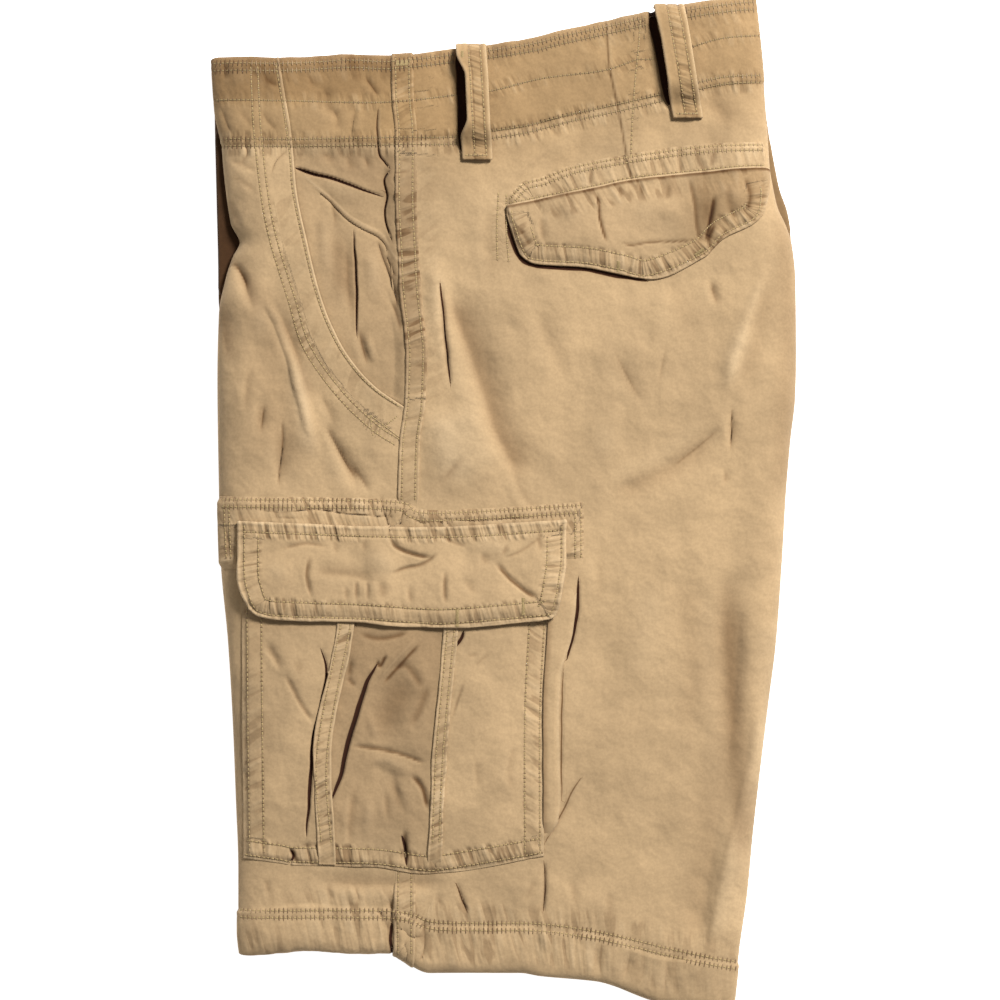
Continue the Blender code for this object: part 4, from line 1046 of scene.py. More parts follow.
def curled(x, y, right):
    """Adds the columns of a side that is folded under, and gives what lies lower there."""
    angles = np.radians((90, 68, 46, 24))
    inward = -1.0 if right else 1.0
    edge_x, edge_y = (x[:, -1:], y[:, -1:]) if right else (x[:, :1], y[:, :1])
    order = angles[::-1] if right else angles
    curl_x = edge_x + inward * CURL_IN * (1 - np.cos(order))
    curl_y = edge_y + 0 * order
    sink = rim(edge_y) - CURL_DOWN * np.sin(order)
    if right:
        return np.hstack((x, curl_x)), np.hstack((y, curl_y)), sink
    return np.hstack((curl_x, x)), np.hstack((curl_y, y)), sink


def panel_rows(cell):
    """Rows from the hem to the waist, closer in the hem and in the waistband."""
    return levels((42, 0.62 * cell), (450, 1.15 * cell), (66, 0.62 * cell))


def front_panel(cell, seed):
    """The front, from its folded side to the side seam and the hand pocket's mouth."""
    def right(y):
        return np.where(y < MOUTH_FOOT, seam_line(y), mouth_line(y)) - JOIN

    across = spaced(104, 0.6 * cell)
    x, y = settle(across, panel_rows(cell), front_line, right, hem_line, waist_line)
    x, y, sink = curled(x, y, right=False)
    cloth = Cloth("front_cloth", x, y, LAY, PANEL_WALL)
    cloth.form[:, :sink.shape[1]] = sink
    dress_panel(cloth, seed)
    mouth = upright(POCKET_MOUTH, -JOIN)
    cloth.bead(mouth, 0.6, 0.25, 0.5, 0.4)
    cloth.grooves(Line(MOUTH_ROW), (-DOUBLE_ROW, 0.0))
    cloth.groove(mouth.offset(1.9), 0.25)
    below_band = upright([row for row in POCKET_MOUTH if row[0] < 200], -JOIN)
    cloth.pucker(below_band, 2.6, 13.0, 0.3, 11.0, seed + 31, 2.5, 0.7)
    cloth.pucker(Line(MOUTH_ROW[3:]), -4.4, 1.6, 0.6, 4.0, seed + 33, 2.0, 0.3)
    return cloth.build(twill("front_twill", 0.97), "twill", ["front_panel"])


def pocket_facing(cell, seed):
    """The cloth inside the hand pocket's mouth, lower than the panels round it."""
    rows = levels((155, 0.5 * cell), (64, 0.6 * cell))
    foot = straight(MOUTH_FOOT + 0.6)
    x, y = settle(spaced(66, 0.36 * cell), rows, moved(mouth_line, -MOUTH_COVER),
                  moved(seam_line, -JOIN), foot, waist_line)
    cloth = Cloth("pocket_facing_cloth", x, y, LAY, PANEL_WALL)
    dress_panel(cloth, seed)
    width = seam_line(y) - mouth_line(y)
    below_band = smooth((waist_edge(x) - WAISTBAND_DEPTH + 2 - y) / 12.0)
    beside_seam = smooth((seam_line(y) - x) / FACING_SLOPE)
    narrow = smooth(width / 16.0)
    under_edge = smooth((mouth_line(y) + 2.0 - x) / 2.5)
    drop = FACING_DROP * np.maximum(below_band * beside_seam * narrow, 0.95 * under_edge)
    cloth.folds -= drop
    cloth.creases(FACING_CREASES)
    # A painted highlight along the ridge.
    cloth.bead(Line(FACING_RIDGE), 0.7, 0.15, 0.4, 0.0)
    for entry in FACING_GAPS:
        cloth.gap(entry)
    # Painted shadow under the mouth's edge and painted shade over the cloth inside the mouth.
    cloth.shade += 0.5 * smooth((mouth_line(y) + 1.6 - x) / 3.0) * below_band
    cloth.shade += (0.12 + 0.10 * smooth((y - 184 + 0.5 * (x + 75)) / 12.0)) * below_band
    return cloth.build(twill("facing_twill", 0.97), "twill", ["pocket_facing"])


def side_seam(cell, seed):
    """The felled strip over the join of the front and the back."""
    rows = levels((42, 0.6 * cell), (300, 0.9 * cell), (216, 0.6 * cell))
    x, y = settle(spaced(11.7, 0.42 * cell), rows, moved(seam_line, JOIN),
                  moved(seam_back_line, -JOIN), hem_line, waist_line)
    cloth = Cloth("side_seam_cloth", x, y, LAY, PANEL_WALL)
    dress_panel(cloth, seed)
    under_pocket = smooth((4 - y) / 4) * smooth((y + 240) / 4)
    cloth.wall += (SEAM_WALL - PANEL_WALL) * (1 - under_pocket)
    line = upright(SIDE_SEAM)
    cloth.bead(line, 0.7, 0.15, 0.25)
    cloth.grooves(line, SEAM_ROWS)
    puckered = upright([row for row in SIDE_SEAM if 60 < row[0] < 232], 6)
    cloth.pucker(puckered, -6, 6, 0.75, 6.5, seed + 41, 2.0, 0.25, 0.8)
    cloth.pucker(line, -12, 0, 0.6, 8.0, seed + 43, 2.0, 0.4)
    # Painted shade over the puckered middle of the side seam.
    cloth.shade += 0.22 * smooth((y - 60) / 30) * smooth((228 - y) / 30)
    return cloth.build(twill("seam_twill", 0.94), "twill", ["side_seam"], whole=True)


def back_panel(cell, seed):
    """The back, from the side seam to its folded side."""
    across = spaced(236, 0.62 * cell)
    x, y = settle(across, panel_rows(cell), moved(seam_back_line, JOIN), back_line,
                  hem_line, waist_line)
    x, y, sink = curled(x, y, right=True)
    cloth = Cloth("back_cloth", x, y, LAY, PANEL_WALL)
    cloth.form[:, -sink.shape[1]:] = sink
    dress_panel(cloth, seed)
    cloth.step(Line(DART_LINE), 0.35, 0.55, 9.0)
    cloth.groove(Line(DART_ROW))
    cloth.pucker(Line(DART_ROW), -2.5, 2.5, 0.4, 7.0, seed + 51, 2.0, 0.3)
    cloth.crease(Crease(POCKET_BAG_LINE, 1.4, 0.45, 0.5, 0.1))
    for points in WELT_ROWS:
        cloth.groove(Line(points))
        cloth.pucker(Line(points), -2.6, 2.6, 0.4, 4.5, seed + 53, 1.5, 0.2, 0.25)
    seam = upright([row for row in SIDE_SEAM if row[0] > 0], SEAM_WIDTH)
    cloth.pucker(seam, -9, 1, 0.22, 11.0, seed + 55, 7.0, 0.6)
    return cloth.build(twill("back_twill", 1.0), "twill", ["back_panel"])


# ---- back pocket ----
def back_flap(cell, seed):
    """The pointed flap of the back pocket, topstitched round its edge and further in."""
    top, foot = curve(BACK_FLAP_TOP), curve(BACK_FLAP_FOOT)
    x, y = settle(spaced(164, 0.58 * cell), spaced(48, 0.55 * cell), straight(BACK_FLAP_LEFT),
                  straight(BACK_FLAP_RIGHT), foot, top)
    dome = BACK_FLAP_DOME * smooth(np.minimum(y - foot(x), top(x) - y) / 22.0)
    cloth = sewn_cloth("back_flap_cloth", x, y, sewn_lift(x, y, dome), FLAP_WALL, seed)
    cloth.creases(BACK_FLAP_CREASES, "wall")
    edge = Line(BACK_FLAP_RIM)
    cloth.bead(edge)
    for distance, depth in BACK_FLAP_ROWS:
        cloth.groove(edge.offset(distance), depth)
    cloth.pucker(edge, 1.5, 11.5, 0.9, 6.0, seed + 61, 2.5, 0.2, 0.7)
    upper = row_line(BACK_FLAP_TOP, 1.5)
    cloth.pucker(upper, -9, 0, 0.6, 9.0, seed + 63, 5.0, 0.3)
    # Painted shade over the flap, strongest on its right part, there partly in the waistband's
    # colour.
    cloth.tone += 0.4 * smooth((x - 100) / 30)
    cloth.shade += 0.06 + 0.10 * smooth((x - 102) / 26) * smooth((y - foot(x) - 8) / 8)
    cloth.press(y - foot(x), 7.0, 0.7, 0.3)
    # Painted shade along the top, where the flap goes under the band.
    cloth.shade += 0.45 * smooth((y - top(x) + 2.0) / 2.0)
    return cloth.build(twill("flap_twill", 0.99), "twill_pocket", ["back_flap"], whole=True)


def back_pocket_band(cell, seed):
    """The band sewn over the top of the back pocket."""
    foot, top = moved(curve(BACK_FLAP_TOP), LAY), curve(BACK_BAND_TOP)
    x, y = settle(spaced(160, 0.58 * cell), spaced(17, 0.5 * cell), straight(BACK_FLAP_LEFT),
                  straight(BACK_BAND_RIGHT), foot, top)
    cloth = sewn_cloth("back_band_cloth", x, y, sewn_lift(x, y), BAND_WALL, seed)
    cloth.creases(BACK_BAND_CREASES, "wall")
    upper = Line(BACK_BAND_TOP)
    cloth.grooves(upper, BACK_BAND_ROWS)
    cloth.groove(row_line(BACK_FLAP_TOP, -2.2), 0.4)
    cloth.pucker(upper, -15, 0, 0.75, 6.5, seed + 71, 2.0, 0.2)
    cloth.bead(side(x, y, "foot"), 0.7, 0.25, 0.35)
    cloth.crease(Crease(DART_LINE[-2:], 0.6, -0.15, 0.0, 0.3, 2), "wall")
    cloth.press(np.minimum(top(x) - y, x - BACK_FLAP_LEFT), 4.0, 1.05, 0.5)
    return cloth.build(twill("band_twill", 0.99), "twill_pocket", ["back_pocket_band"], whole=True)


# ---- cargo pocket ----
def pocket_puff(x, y):
    """How far the pocket's cloth stands up from the panel."""
    left, right = curve(CARGO_LEFT)(y), curve(CARGO_RIGHT)(y)
    inside = smooth((x - left) / PUFF_SIDE) * smooth((right - x) / PUFF_SIDE)
    inside *= smooth((y - curve(CARGO_FOOT)(x)) / PUFF_SIDE)
    return POCKET_PUFF * inside * smooth((curve(CARGO_TOP)(x) - y) / PUFF_TOP)


def pocket_lines():
    """The pocket's two sides and its foot."""
    left, right = CARGO_SIDES
    return {"left": Line(left), "foot": Line(CARGO_FOOT), "right": Line(right)}


def cargo_body(cell, seed):
    """The pocket's front and back pieces, and the sunken pleat between them."""
    foot, top = curve(CARGO_FOOT), curve(CARGO_TOP)
    front_pleat, back_pleat = curve(PLEAT_FRONT_LINE), curve(PLEAT_BACK_LINE)
    left_edge, right_edge = curve(CARGO_LEFT), curve(CARGO_RIGHT)
    shapes = (("cargo_front", left_edge, moved(front_pleat, -JOIN), 54, 0.0),
              ("cargo_pleat", moved(front_pleat, JOIN), moved(back_pleat, -JOIN), 68, PLEAT_SINK),
              ("cargo_back", moved(back_pleat, JOIN), right_edge, 66, 0.0))
    lines = pocket_lines()
    pieces = []
    for name, left, right, width, sink in shapes:
        x, y = settle(spaced(width, 0.42 * cell), spaced(176, 0.6 * cell), left, right, foot, top)
        sunk = sink * (1 - 0.92 * smooth((x - left(y)) / 52.0))
        lift = sewn_lift(x, y, (1 - sunk) * pocket_puff(x, y))
        cloth = sewn_cloth(name + "_cloth", x, y, lift, POCKET_WALL, seed)
        cloth.creases(CARGO_CREASES, "lift")
        for entry in CARGO_GAPS:
            cloth.gap(entry)
        cloth.ripple(24.0, 0.35, seed + 81)
        for line in lines.values():
            cloth.bead(line, 0.7, 0.15, 0.35)
        for key, offsets in POCKET_ROWS.items():
            cloth.grooves(lines[key], offsets)
        cloth.pucker(lines["left"], 2.0, 11.5, 0.5, 9.0, seed + 83, 2.0, 0.6)
        cloth.pucker(lines["right"], 2.0, 11.5, 0.6, 9.0, seed + 85, 2.0, -0.6)
        cloth.pucker(lines["foot"], 1.5, 11.5, 0.9, 6.5, seed + 87, 3.0, 0.2)
        outer = np.minimum(np.minimum(x - left_edge(y), right_edge(y) - x), y - foot(x))
        cloth.press(outer, 5.0, 0.9, 0.45)
        # Painted shade in the sunken pleat, and painted shadow under the flap on the other pieces.
        if name == "cargo_pleat":
            cloth.shade += 0.13 * smooth((y + 222) / 30) + 0.10 * smooth((y + 165) / 60)
        else:
            cloth.shade += 0.16 * smooth((y + 82) / 10)
        pieces.append(cloth.build(twill(name + "_twill", 0.99), "twill_pocket", [name]))
    return pieces


def cargo_strips(cell, seed):
    """The topstitched strip down each edge of the pleat."""
    pieces = []
    for name, points, width in (("cargo_strip_front", PLEAT_FRONT_LINE, PLEAT_FRONT_STRIP),
                                ("cargo_strip_back", PLEAT_BACK_LINE, PLEAT_BACK_STRIP)):
        line = curve(points)
        x, y = settle(spaced(width, 0.4 * cell), spaced(168, 0.6 * cell),
                      moved(line, -width / 2), moved(line, width / 2),
                      curve(STRIP_FOOT), curve(STRIP_TOP))
        lift = sewn_lift(x, y, POCKET_WALL - 0.3 + pocket_puff(x, y))
        cloth = sewn_cloth(name + "_cloth", x, y, lift, STRIP_WALL, seed)
        for which, distance in (("left", -STRIP_ROW), ("right", STRIP_ROW)):
            edge = side(x, y, which)
            cloth.bead(edge, 0.6, 0.2, 0.35, 0.4)
            cloth.groove(edge.offset(distance))
        cloth.pucker(side(x, y, "left"), -8, -1, 0.9, 6.5, seed + 91, 1.5, 0.5, 0.7)
        cloth.grooves(Line(CARGO_FOOT), POCKET_ROWS["foot"])
        cloth.press(y - curve(STRIP_FOOT)(x), 10.0, 1.0, 0.5)
        pieces.append(cloth.build(twill(name + "_twill", 1.0), "twill_pocket", [name], whole=True))
    return pieces


def cargo_bellows(cell, seed):
    """The gusset that shows beside the pocket's back edge."""
    left, right = moved(curve(CARGO_RIGHT), 0.2), curve(BELLOWS_EDGE)
    x, y = settle(spaced(12, 0.5 * cell), spaced(166, 0.7 * cell), left, right,
                  curve(BELLOWS_FOOT), curve(BELLOWS_TOP))
    cloth = sewn_cloth("cargo_bellows_cloth", x, y, sewn_lift(x, y), PANEL_WALL, seed)
    cloth.bead(side(x, y, "right"), 0.7, 0.2, 0.3)
    ends = np.minimum(0.5 * (curve(BELLOWS_TOP)(x) - y), y - curve(BELLOWS_FOOT)(x))
    cloth.press(ends, 14.0, 1.9, 0.5)
    cloth.press(right(y) - x, 3.0, 0.6, 0.3)
    # Painted shade beside the pocket's back edge.
    inner = side(x, y, "left")
    where, across, _ = inner.near(x, y, 8)
    cloth.add("shade", where, 0.30 * np.exp(-(across / 2.4) ** 2))
    return cloth.build(
        twill("bellows_twill", 0.98), "twill_pocket", ["cargo_bellows"], whole=True)


def cargo_band(cell, seed):
    """The top of the pocket, sewn to the leg above and behind the flap."""
    top, foot = curve(CARGO_BAND_TOP), curve(CARGO_BAND_FOOT)
    x, y = settle(spaced(226, 0.62 * cell), spaced(42, 0.6 * cell), moved(front_line, 1.0),
                  straight(CARGO_BAND_RIGHT), foot, top)
    cloth = sewn_cloth("cargo_band_cloth", x, y, sewn_lift(x, y), BAND_WALL, seed)
    cloth.creases(CARGO_BAND_CREASES)
    upper = Line(CARGO_BAND_TOP)
    cloth.grooves(upper, BAND_ROWS)
    cloth.pucker(upper, -17, 0, 0.75, 7.0, seed + 95, 2.0, 0.4)
    right = side(x, y, "right")
    cloth.grooves(right, (1.6, 5.2))
    cloth.pucker(right, 0.5, 7.0, 0.7, 5.0, seed + 97, 2.0, 0.3, 0.4)
    left = side(x, y, "left")
    cloth.pucker(left, -8, -2, 0.6, 6.0, seed + 99, 3.0, 0.2)
    inside = np.minimum(np.minimum(top(x) - y, CARGO_BAND_RIGHT - x), y - foot(x))
    cloth.press(inside, 4.0, 1.05, 0.5)
    return cloth.build(twill("cargo_band_twill", 0.97), "twill_pocket", ["cargo_band"], whole=True)


def cargo_flap(cell, seed):
    """The pocket's flap, with a pale turned edge and a stitched frame inside it."""
    top, foot = curve(CARGO_FLAP_TOP), curve(CARGO_FLAP_FOOT)
    x, y = settle(spaced(202, 0.5 * cell), spaced(62, 0.45 * cell), curve(CARGO_FLAP_LEFT),
                  curve(CARGO_FLAP_RIGHT), foot, top)
    over_band = BAND_WALL + SEWN_GAP
    over_strips = POCKET_WALL + STRIP_WALL + 2 * SEWN_GAP + 1.2
    down = smooth((top(x) - y) / 48.0)
    lift = sewn_lift(x, y, over_band + (over_strips - over_band) * down)
    cloth = sewn_cloth("cargo_flap_cloth", x, y, lift, FLAP_WALL, seed)
    cloth.creases(FLAP_CREASES, "lift")
    cloth.ripple(21.0, 0.5, seed + 101, "lift")
    cloth.lift = np.maximum(cloth.lift, lift - 1.6)
    low = 1 - smooth((y - foot(x)) / 9.0)
    cloth.lift -= 1.0 * low
    cloth.wall *= 1 - 0.35 * low
    edge, upper = Line(CARGO_FLAP_RIM), Line(CARGO_FLAP_TOP)
    for line in (edge, upper):
        cloth.bead(line, 0.8, 0.3, 0.5)
    for distance, depth in FLAP_ROWS:
        cloth.groove(edge.offset(distance), depth)
    cloth.groove(upper.offset(FLAP_TOP_ROW), 0.5)
    cloth.pucker(edge, 1.6, 12.0, 0.72, 5.5, seed + 105, 2.5, 0.2, 0.7)
    cloth.pucker(upper, -8.0, -0.8, 1.0, 5.0, seed + 103, 2.5, 0.25, 0.7)
    return cloth.build(twill("cargo_flap_twill", 1.0), "twill_pocket", ["cargo_flap"], whole=True)


# ---- belt loops ----
def ground_height(x, y, seed):
    """Height of the panels' face at a few places."""
    x, y = np.atleast_2d(x).astype(float), np.atleast_2d(y).astype(float)
    cloth = sewn_cloth("ground", x, y, 0.0, 0.0, seed)
    return (cloth.form + cloth.folds * cloth.fade)[0] + LAY + WAISTBAND_WALL


def loop_middle(loop, y, edge):
    """Where the middle of a loop lies across the garment, at a height along it."""
    return loop.foot_x + (y - loop.foot_y) / (edge - loop.foot_y) * (loop.top_x - loop.foot_x)


def loop_path(loop, seed):
    """The line of a loop's underside, from its sewn foot over the waist edge."""
    edge = float(waist_edge(loop.top_x))
    climb = loop.foot_y + LOOP_FOOT
    up = climb + LOOP_CLIMB
    turn = edge - LOOP_TURN
    y = np.concatenate((np.linspace(loop.foot_y, climb, 8), np.linspace(climb, up, 11)[1:],
                        np.linspace(up, turn, 22)[1:]))
    x = loop_middle(loop, y, edge)
    half = LOOP_WIDTH / 2
    ground = np.max([ground_height(x + off, y, seed) for off in (-half, 0.0, half)], axis=0)
    rise = SEWN_GAP + (LOOP_RISE - SEWN_GAP) * smooth((y - climb) / LOOP_CLIMB)
    z = ground + rise
    angles = np.linspace(0, np.pi / 2, 12)[1:]
    tip = edge + LOOP_OVERHANG - LOOP_WALL
    turned_y = turn + (tip - turn) * np.sin(angles)
    turned_z = z[-1] - (z[-1] - LOOP_TIP) * (1 - np.cos(angles)) * 0.55
    y = np.concatenate((y, turned_y, [tip, tip]))
    z = np.concatenate((z, turned_z, [0.5 * (turned_z[-1] + LOOP_TIP), LOOP_TIP]))
    x = loop_middle(loop, y, edge)
    return np.stack((x, y, z), axis=-1)


def belt_loop(loop, seed):
    """A strip arched off the waistband, with turned edges and puckered topstitching."""
    path = loop_path(loop, seed)
    tangent = np.gradient(path, axis=0)
    out = np.stack((0 * path[:, 0], -tangent[:, 2], tangent[:, 1]), axis=-1)
    out /= np.linalg.norm(out, axis=1)[:, None]
    across = np.linspace(-1, 1, 23) * LOOP_WIDTH / 2
    steps = np.linalg.norm(np.diff(path, axis=0), axis=1)
    along = np.concatenate(([0.0], np.cumsum(steps)))
    side_off, run = np.meshgrid(across, along)
    from_edge = LOOP_WIDTH / 2 - np.abs(side_off)
    bow = -0.5 * (side_off / (LOOP_WIDTH / 2)) ** 2
    wavy = 0.5 * noise(run, 0 * run, 16.0, seed + 111)
    base = path[:, None, :] + out[:, None, :] * bow[..., None]
    lean_in = smooth((run - 14) / 12) * smooth((along[-1] - 20 - run) / 14) * loop.lean
    left_part = smooth((2.0 - side_off) / 11.0)
    base[..., 0] += side_off + wavy + lean_in * left_part
    base[..., 2] += 0.35 * lean_in * left_part ** 2
    between = smooth((side_off + 3.2) / 1.6) * smooth((6.4 - side_off) / 1.6)
    rows = sum(np.exp(-((side_off - row) / ROW_WIDTH) ** 2) for row in LOOP_ROWS)
    wall = LOOP_WALL + 0.25 * np.exp(-((from_edge - 0.8) / 0.8) ** 2)
    wall = wall - 0.35 * rows + 0.5 * between * noise(run, 0 * run, 5.0, seed + 113)
    face = base + out[:, None, :] * wall[..., None]
    cloth = Cloth(loop.name + "_cloth", base[..., 0], base[..., 1], 0.0, 0.0)
    # Pale rubbed edges, painted shade along the stitch rows, and the waistband's colour.
    cloth.wear = 0.3 * np.exp(-(from_edge / 1.0) ** 2)
    cloth.shade = 0.26 * rows
    cloth.tone = 0.7 + 0.0 * run
    cloth.gather, cloth.run = 0.5 * between, (run + 0.3 * side_off) / 5.5 + 11.0 * loop.lean
    cloth.surfaces = lambda: (base, face)
    cloth.limits = lambda: None
    return cloth.build(twill(loop.name + "_twill", 1.0), "twill", [loop.name], whole=True)


# ---- what lies underneath ----
RING_POINTS = 1300
PLY = 2.26                # one layer of the stack at its open edges
UNDER_FOLD = 4.55         # above this, the panels' fold covers the stack's edge
FOLDED_LAYERS = (2.25, 6.85)            # heights of their middles
OPEN_LAYERS = (1.1, 3.4, 5.65, 7.9)


def hidden_outline():
    """Places round the outside, anticlockwise: across, up, then how open the layers are."""
    foot = np.linspace(-163.0, 141.0, 210)
    head = np.linspace(156.0, -181.0, 230)
    back = np.linspace(-314.0, 314.5, 420)
    front = np.linspace(276.0, -280.5, 370)
    pieces = ((foot, hem_edge(foot), 1.0), (back_fold(back), back, 0.0),
              (head, waist_edge(head), 1.0), (front_fold(front), front, 0.0))
    return np.vstack([np.stack((px, py, 0 * px + is_open), axis=1)
                      for px, py, is_open in pieces])


def lobes(level, centres, radius, groove):
    """How far in the edges of stacked layers lie at a level."""
    inset = np.full_like(level, groove)
    for centre in centres:
        share = np.clip(np.abs(level - centre) / radius, 0, 1)
        inset = np.where(share < 1, radius * (1 - np.sqrt(1 - share ** 2)), inset)
    return inset


def hidden_layers(seed):
    """The inner side of the upper leg and the other leg: folded edges and open edges."""
    outline = hidden_outline()
    steps = np.linalg.norm(np.diff(outline[:, :2], axis=0, append=outline[:1, :2]), axis=1)
    travel = np.concatenate(([0.0], np.cumsum(steps)[:-1]))
    total = steps.sum()
    count = RING_POINTS
    even = np.linspace(0, total, count, endpoint=False)
    closed = np.vstack((outline, outline[:1]))
    stops = np.concatenate((travel, [total]))
    x, y, is_open = (np.interp(even, stops, closed[:, i]) for i in range(3))
    kernel = np.hanning(9) / np.hanning(9).sum()
    is_open = np.convolve(np.concatenate((is_open[-4:], is_open, is_open[:4])), kernel, "valid")
    along = np.stack((np.roll(x, -1) - np.roll(x, 1), np.roll(y, -1) - np.roll(y, 1)))
    along /= np.linalg.norm(along, axis=0)
    out = np.stack((along[1], -along[0]))
    recess = np.minimum(x - front_line(y), back_line(y) - x)
    hidden_by_fold = smooth(1 - np.abs(recess + EDGE_INSET) / 3.0)
    edge_height = form_height(np.clip(x, front_line(y) + 30, back_line(y) - 30),
                              np.clip(y, hem_line(x), waist_line(x)))
    top = LEDGE_TOP + (edge_height - 0.5 - LEDGE_TOP) * is_open
    rings = []
    for share in np.linspace(1.0, 0.0, 25):
        level = share * LEDGE_TOP
        folded = lobes(np.full(count, level), FOLDED_LAYERS, 2.2, 5.0)
        open_edges = lobes(np.full(count, level), OPEN_LAYERS, 1.05, 4.5)
        ply = int(level / PLY)
        open_edges = open_edges + 0.9 + 0.9 * noise(even, 0 * even, 31.0, seed + 121 + ply)
        folded = folded + 0.3 + 0.3 * noise(even, 0 * even, 37.0, seed + 131 + ply // 2)
        folded = folded + np.where(level > UNDER_FOLD, 5.6 * hidden_by_fold, 0.0)
        inset = folded * (1 - is_open) + open_edges * is_open
        inset = inset - 1.4 * smooth((y - 110) / 20) * smooth((262 - y) / 20) * (x < 0)
        inset = np.where(share < 0.02, 3.2, inset)
        rings.append(np.stack((x - out[0] * inset, y - out[1] * inset, share * top), axis=1))
    inner = [np.stack((x - out[0] * inset, y - out[1] * inset, 0 * x + LEDGE_TOP - drop), axis=1)
             for inset, drop in ((24.0, 0.6), (9.0, 0.3))]
    rings = inner + rings
    middle = np.array(((0.0, 0.0, LEDGE_TOP - 0.6), (0.0, 0.0, 0.0)))
    points = np.vstack((*rings, middle))
    first, last = np.arange(count), np.arange(count) + count * (len(rings) - 1)
    above, below = np.full(count, len(points) - 2), np.full(count, len(points) - 1)
    faces = [np.stack((first, np.roll(first, -1), above), -1),
             np.stack((np.roll(last, -1), last, below), -1)]
    for i in range(len(rings) - 1):
        upper, lower = np.arange(count) + i * count, np.arange(count) + (i + 1) * count
        faces.append(np.stack((upper, lower, np.roll(lower, -1), np.roll(upper, -1)), -1))
    # Painted shade on the lower layers, darkest towards the front side and on their top; half the
    # waistband's colour and a twill at 0.8 of the cloth's colour darken them further as painted
    # shade.
    front_side = smooth((40 - x) / 80)
    shades = [0.92, 0.88] + [0.84] * 5 + [0.6] * (len(rings) - 7)
    shade = np.concatenate([value * (0.35 + 0.65 * front_side) for value in shades])
    shade = np.concatenate((shade, [1.0, 1.0]))
    marks = {"wear": 0 * shade, "shade": shade, "tone": 0 * shade + 0.5}
    return make_mesh("hidden_cloth", points, faces, twill("hidden_twill", 0.8),
                     ["hidden_layers"], marks)


# ---- sewing ----
STITCH_RINGS = ((-1.0, 0.25), (-0.75, 0.8), (0.0, 1.0), (0.75, 0.8), (1.0, 0.25))
# The dents are flat dark marks between stitches: painted shade of the dents and gathers there.
DENT_SHADE_RINGS = ((-1.0, 0.35), (0.0, 1.0), (1.0, 0.35))
STITCH_SIDES = 6
THREAD_RISE, DENT_SHADE_RISE = 0.03, 0.14   # of their middles over the cloth
DENT_SHADE_WIDTH, DENT_SHADE_HEIGHT = 1.15, 0.18  # the height is a share of the width
TACK_PITCH, TACK_WIDTH, TACK_THREAD = 0.55, 2.2, 0.62


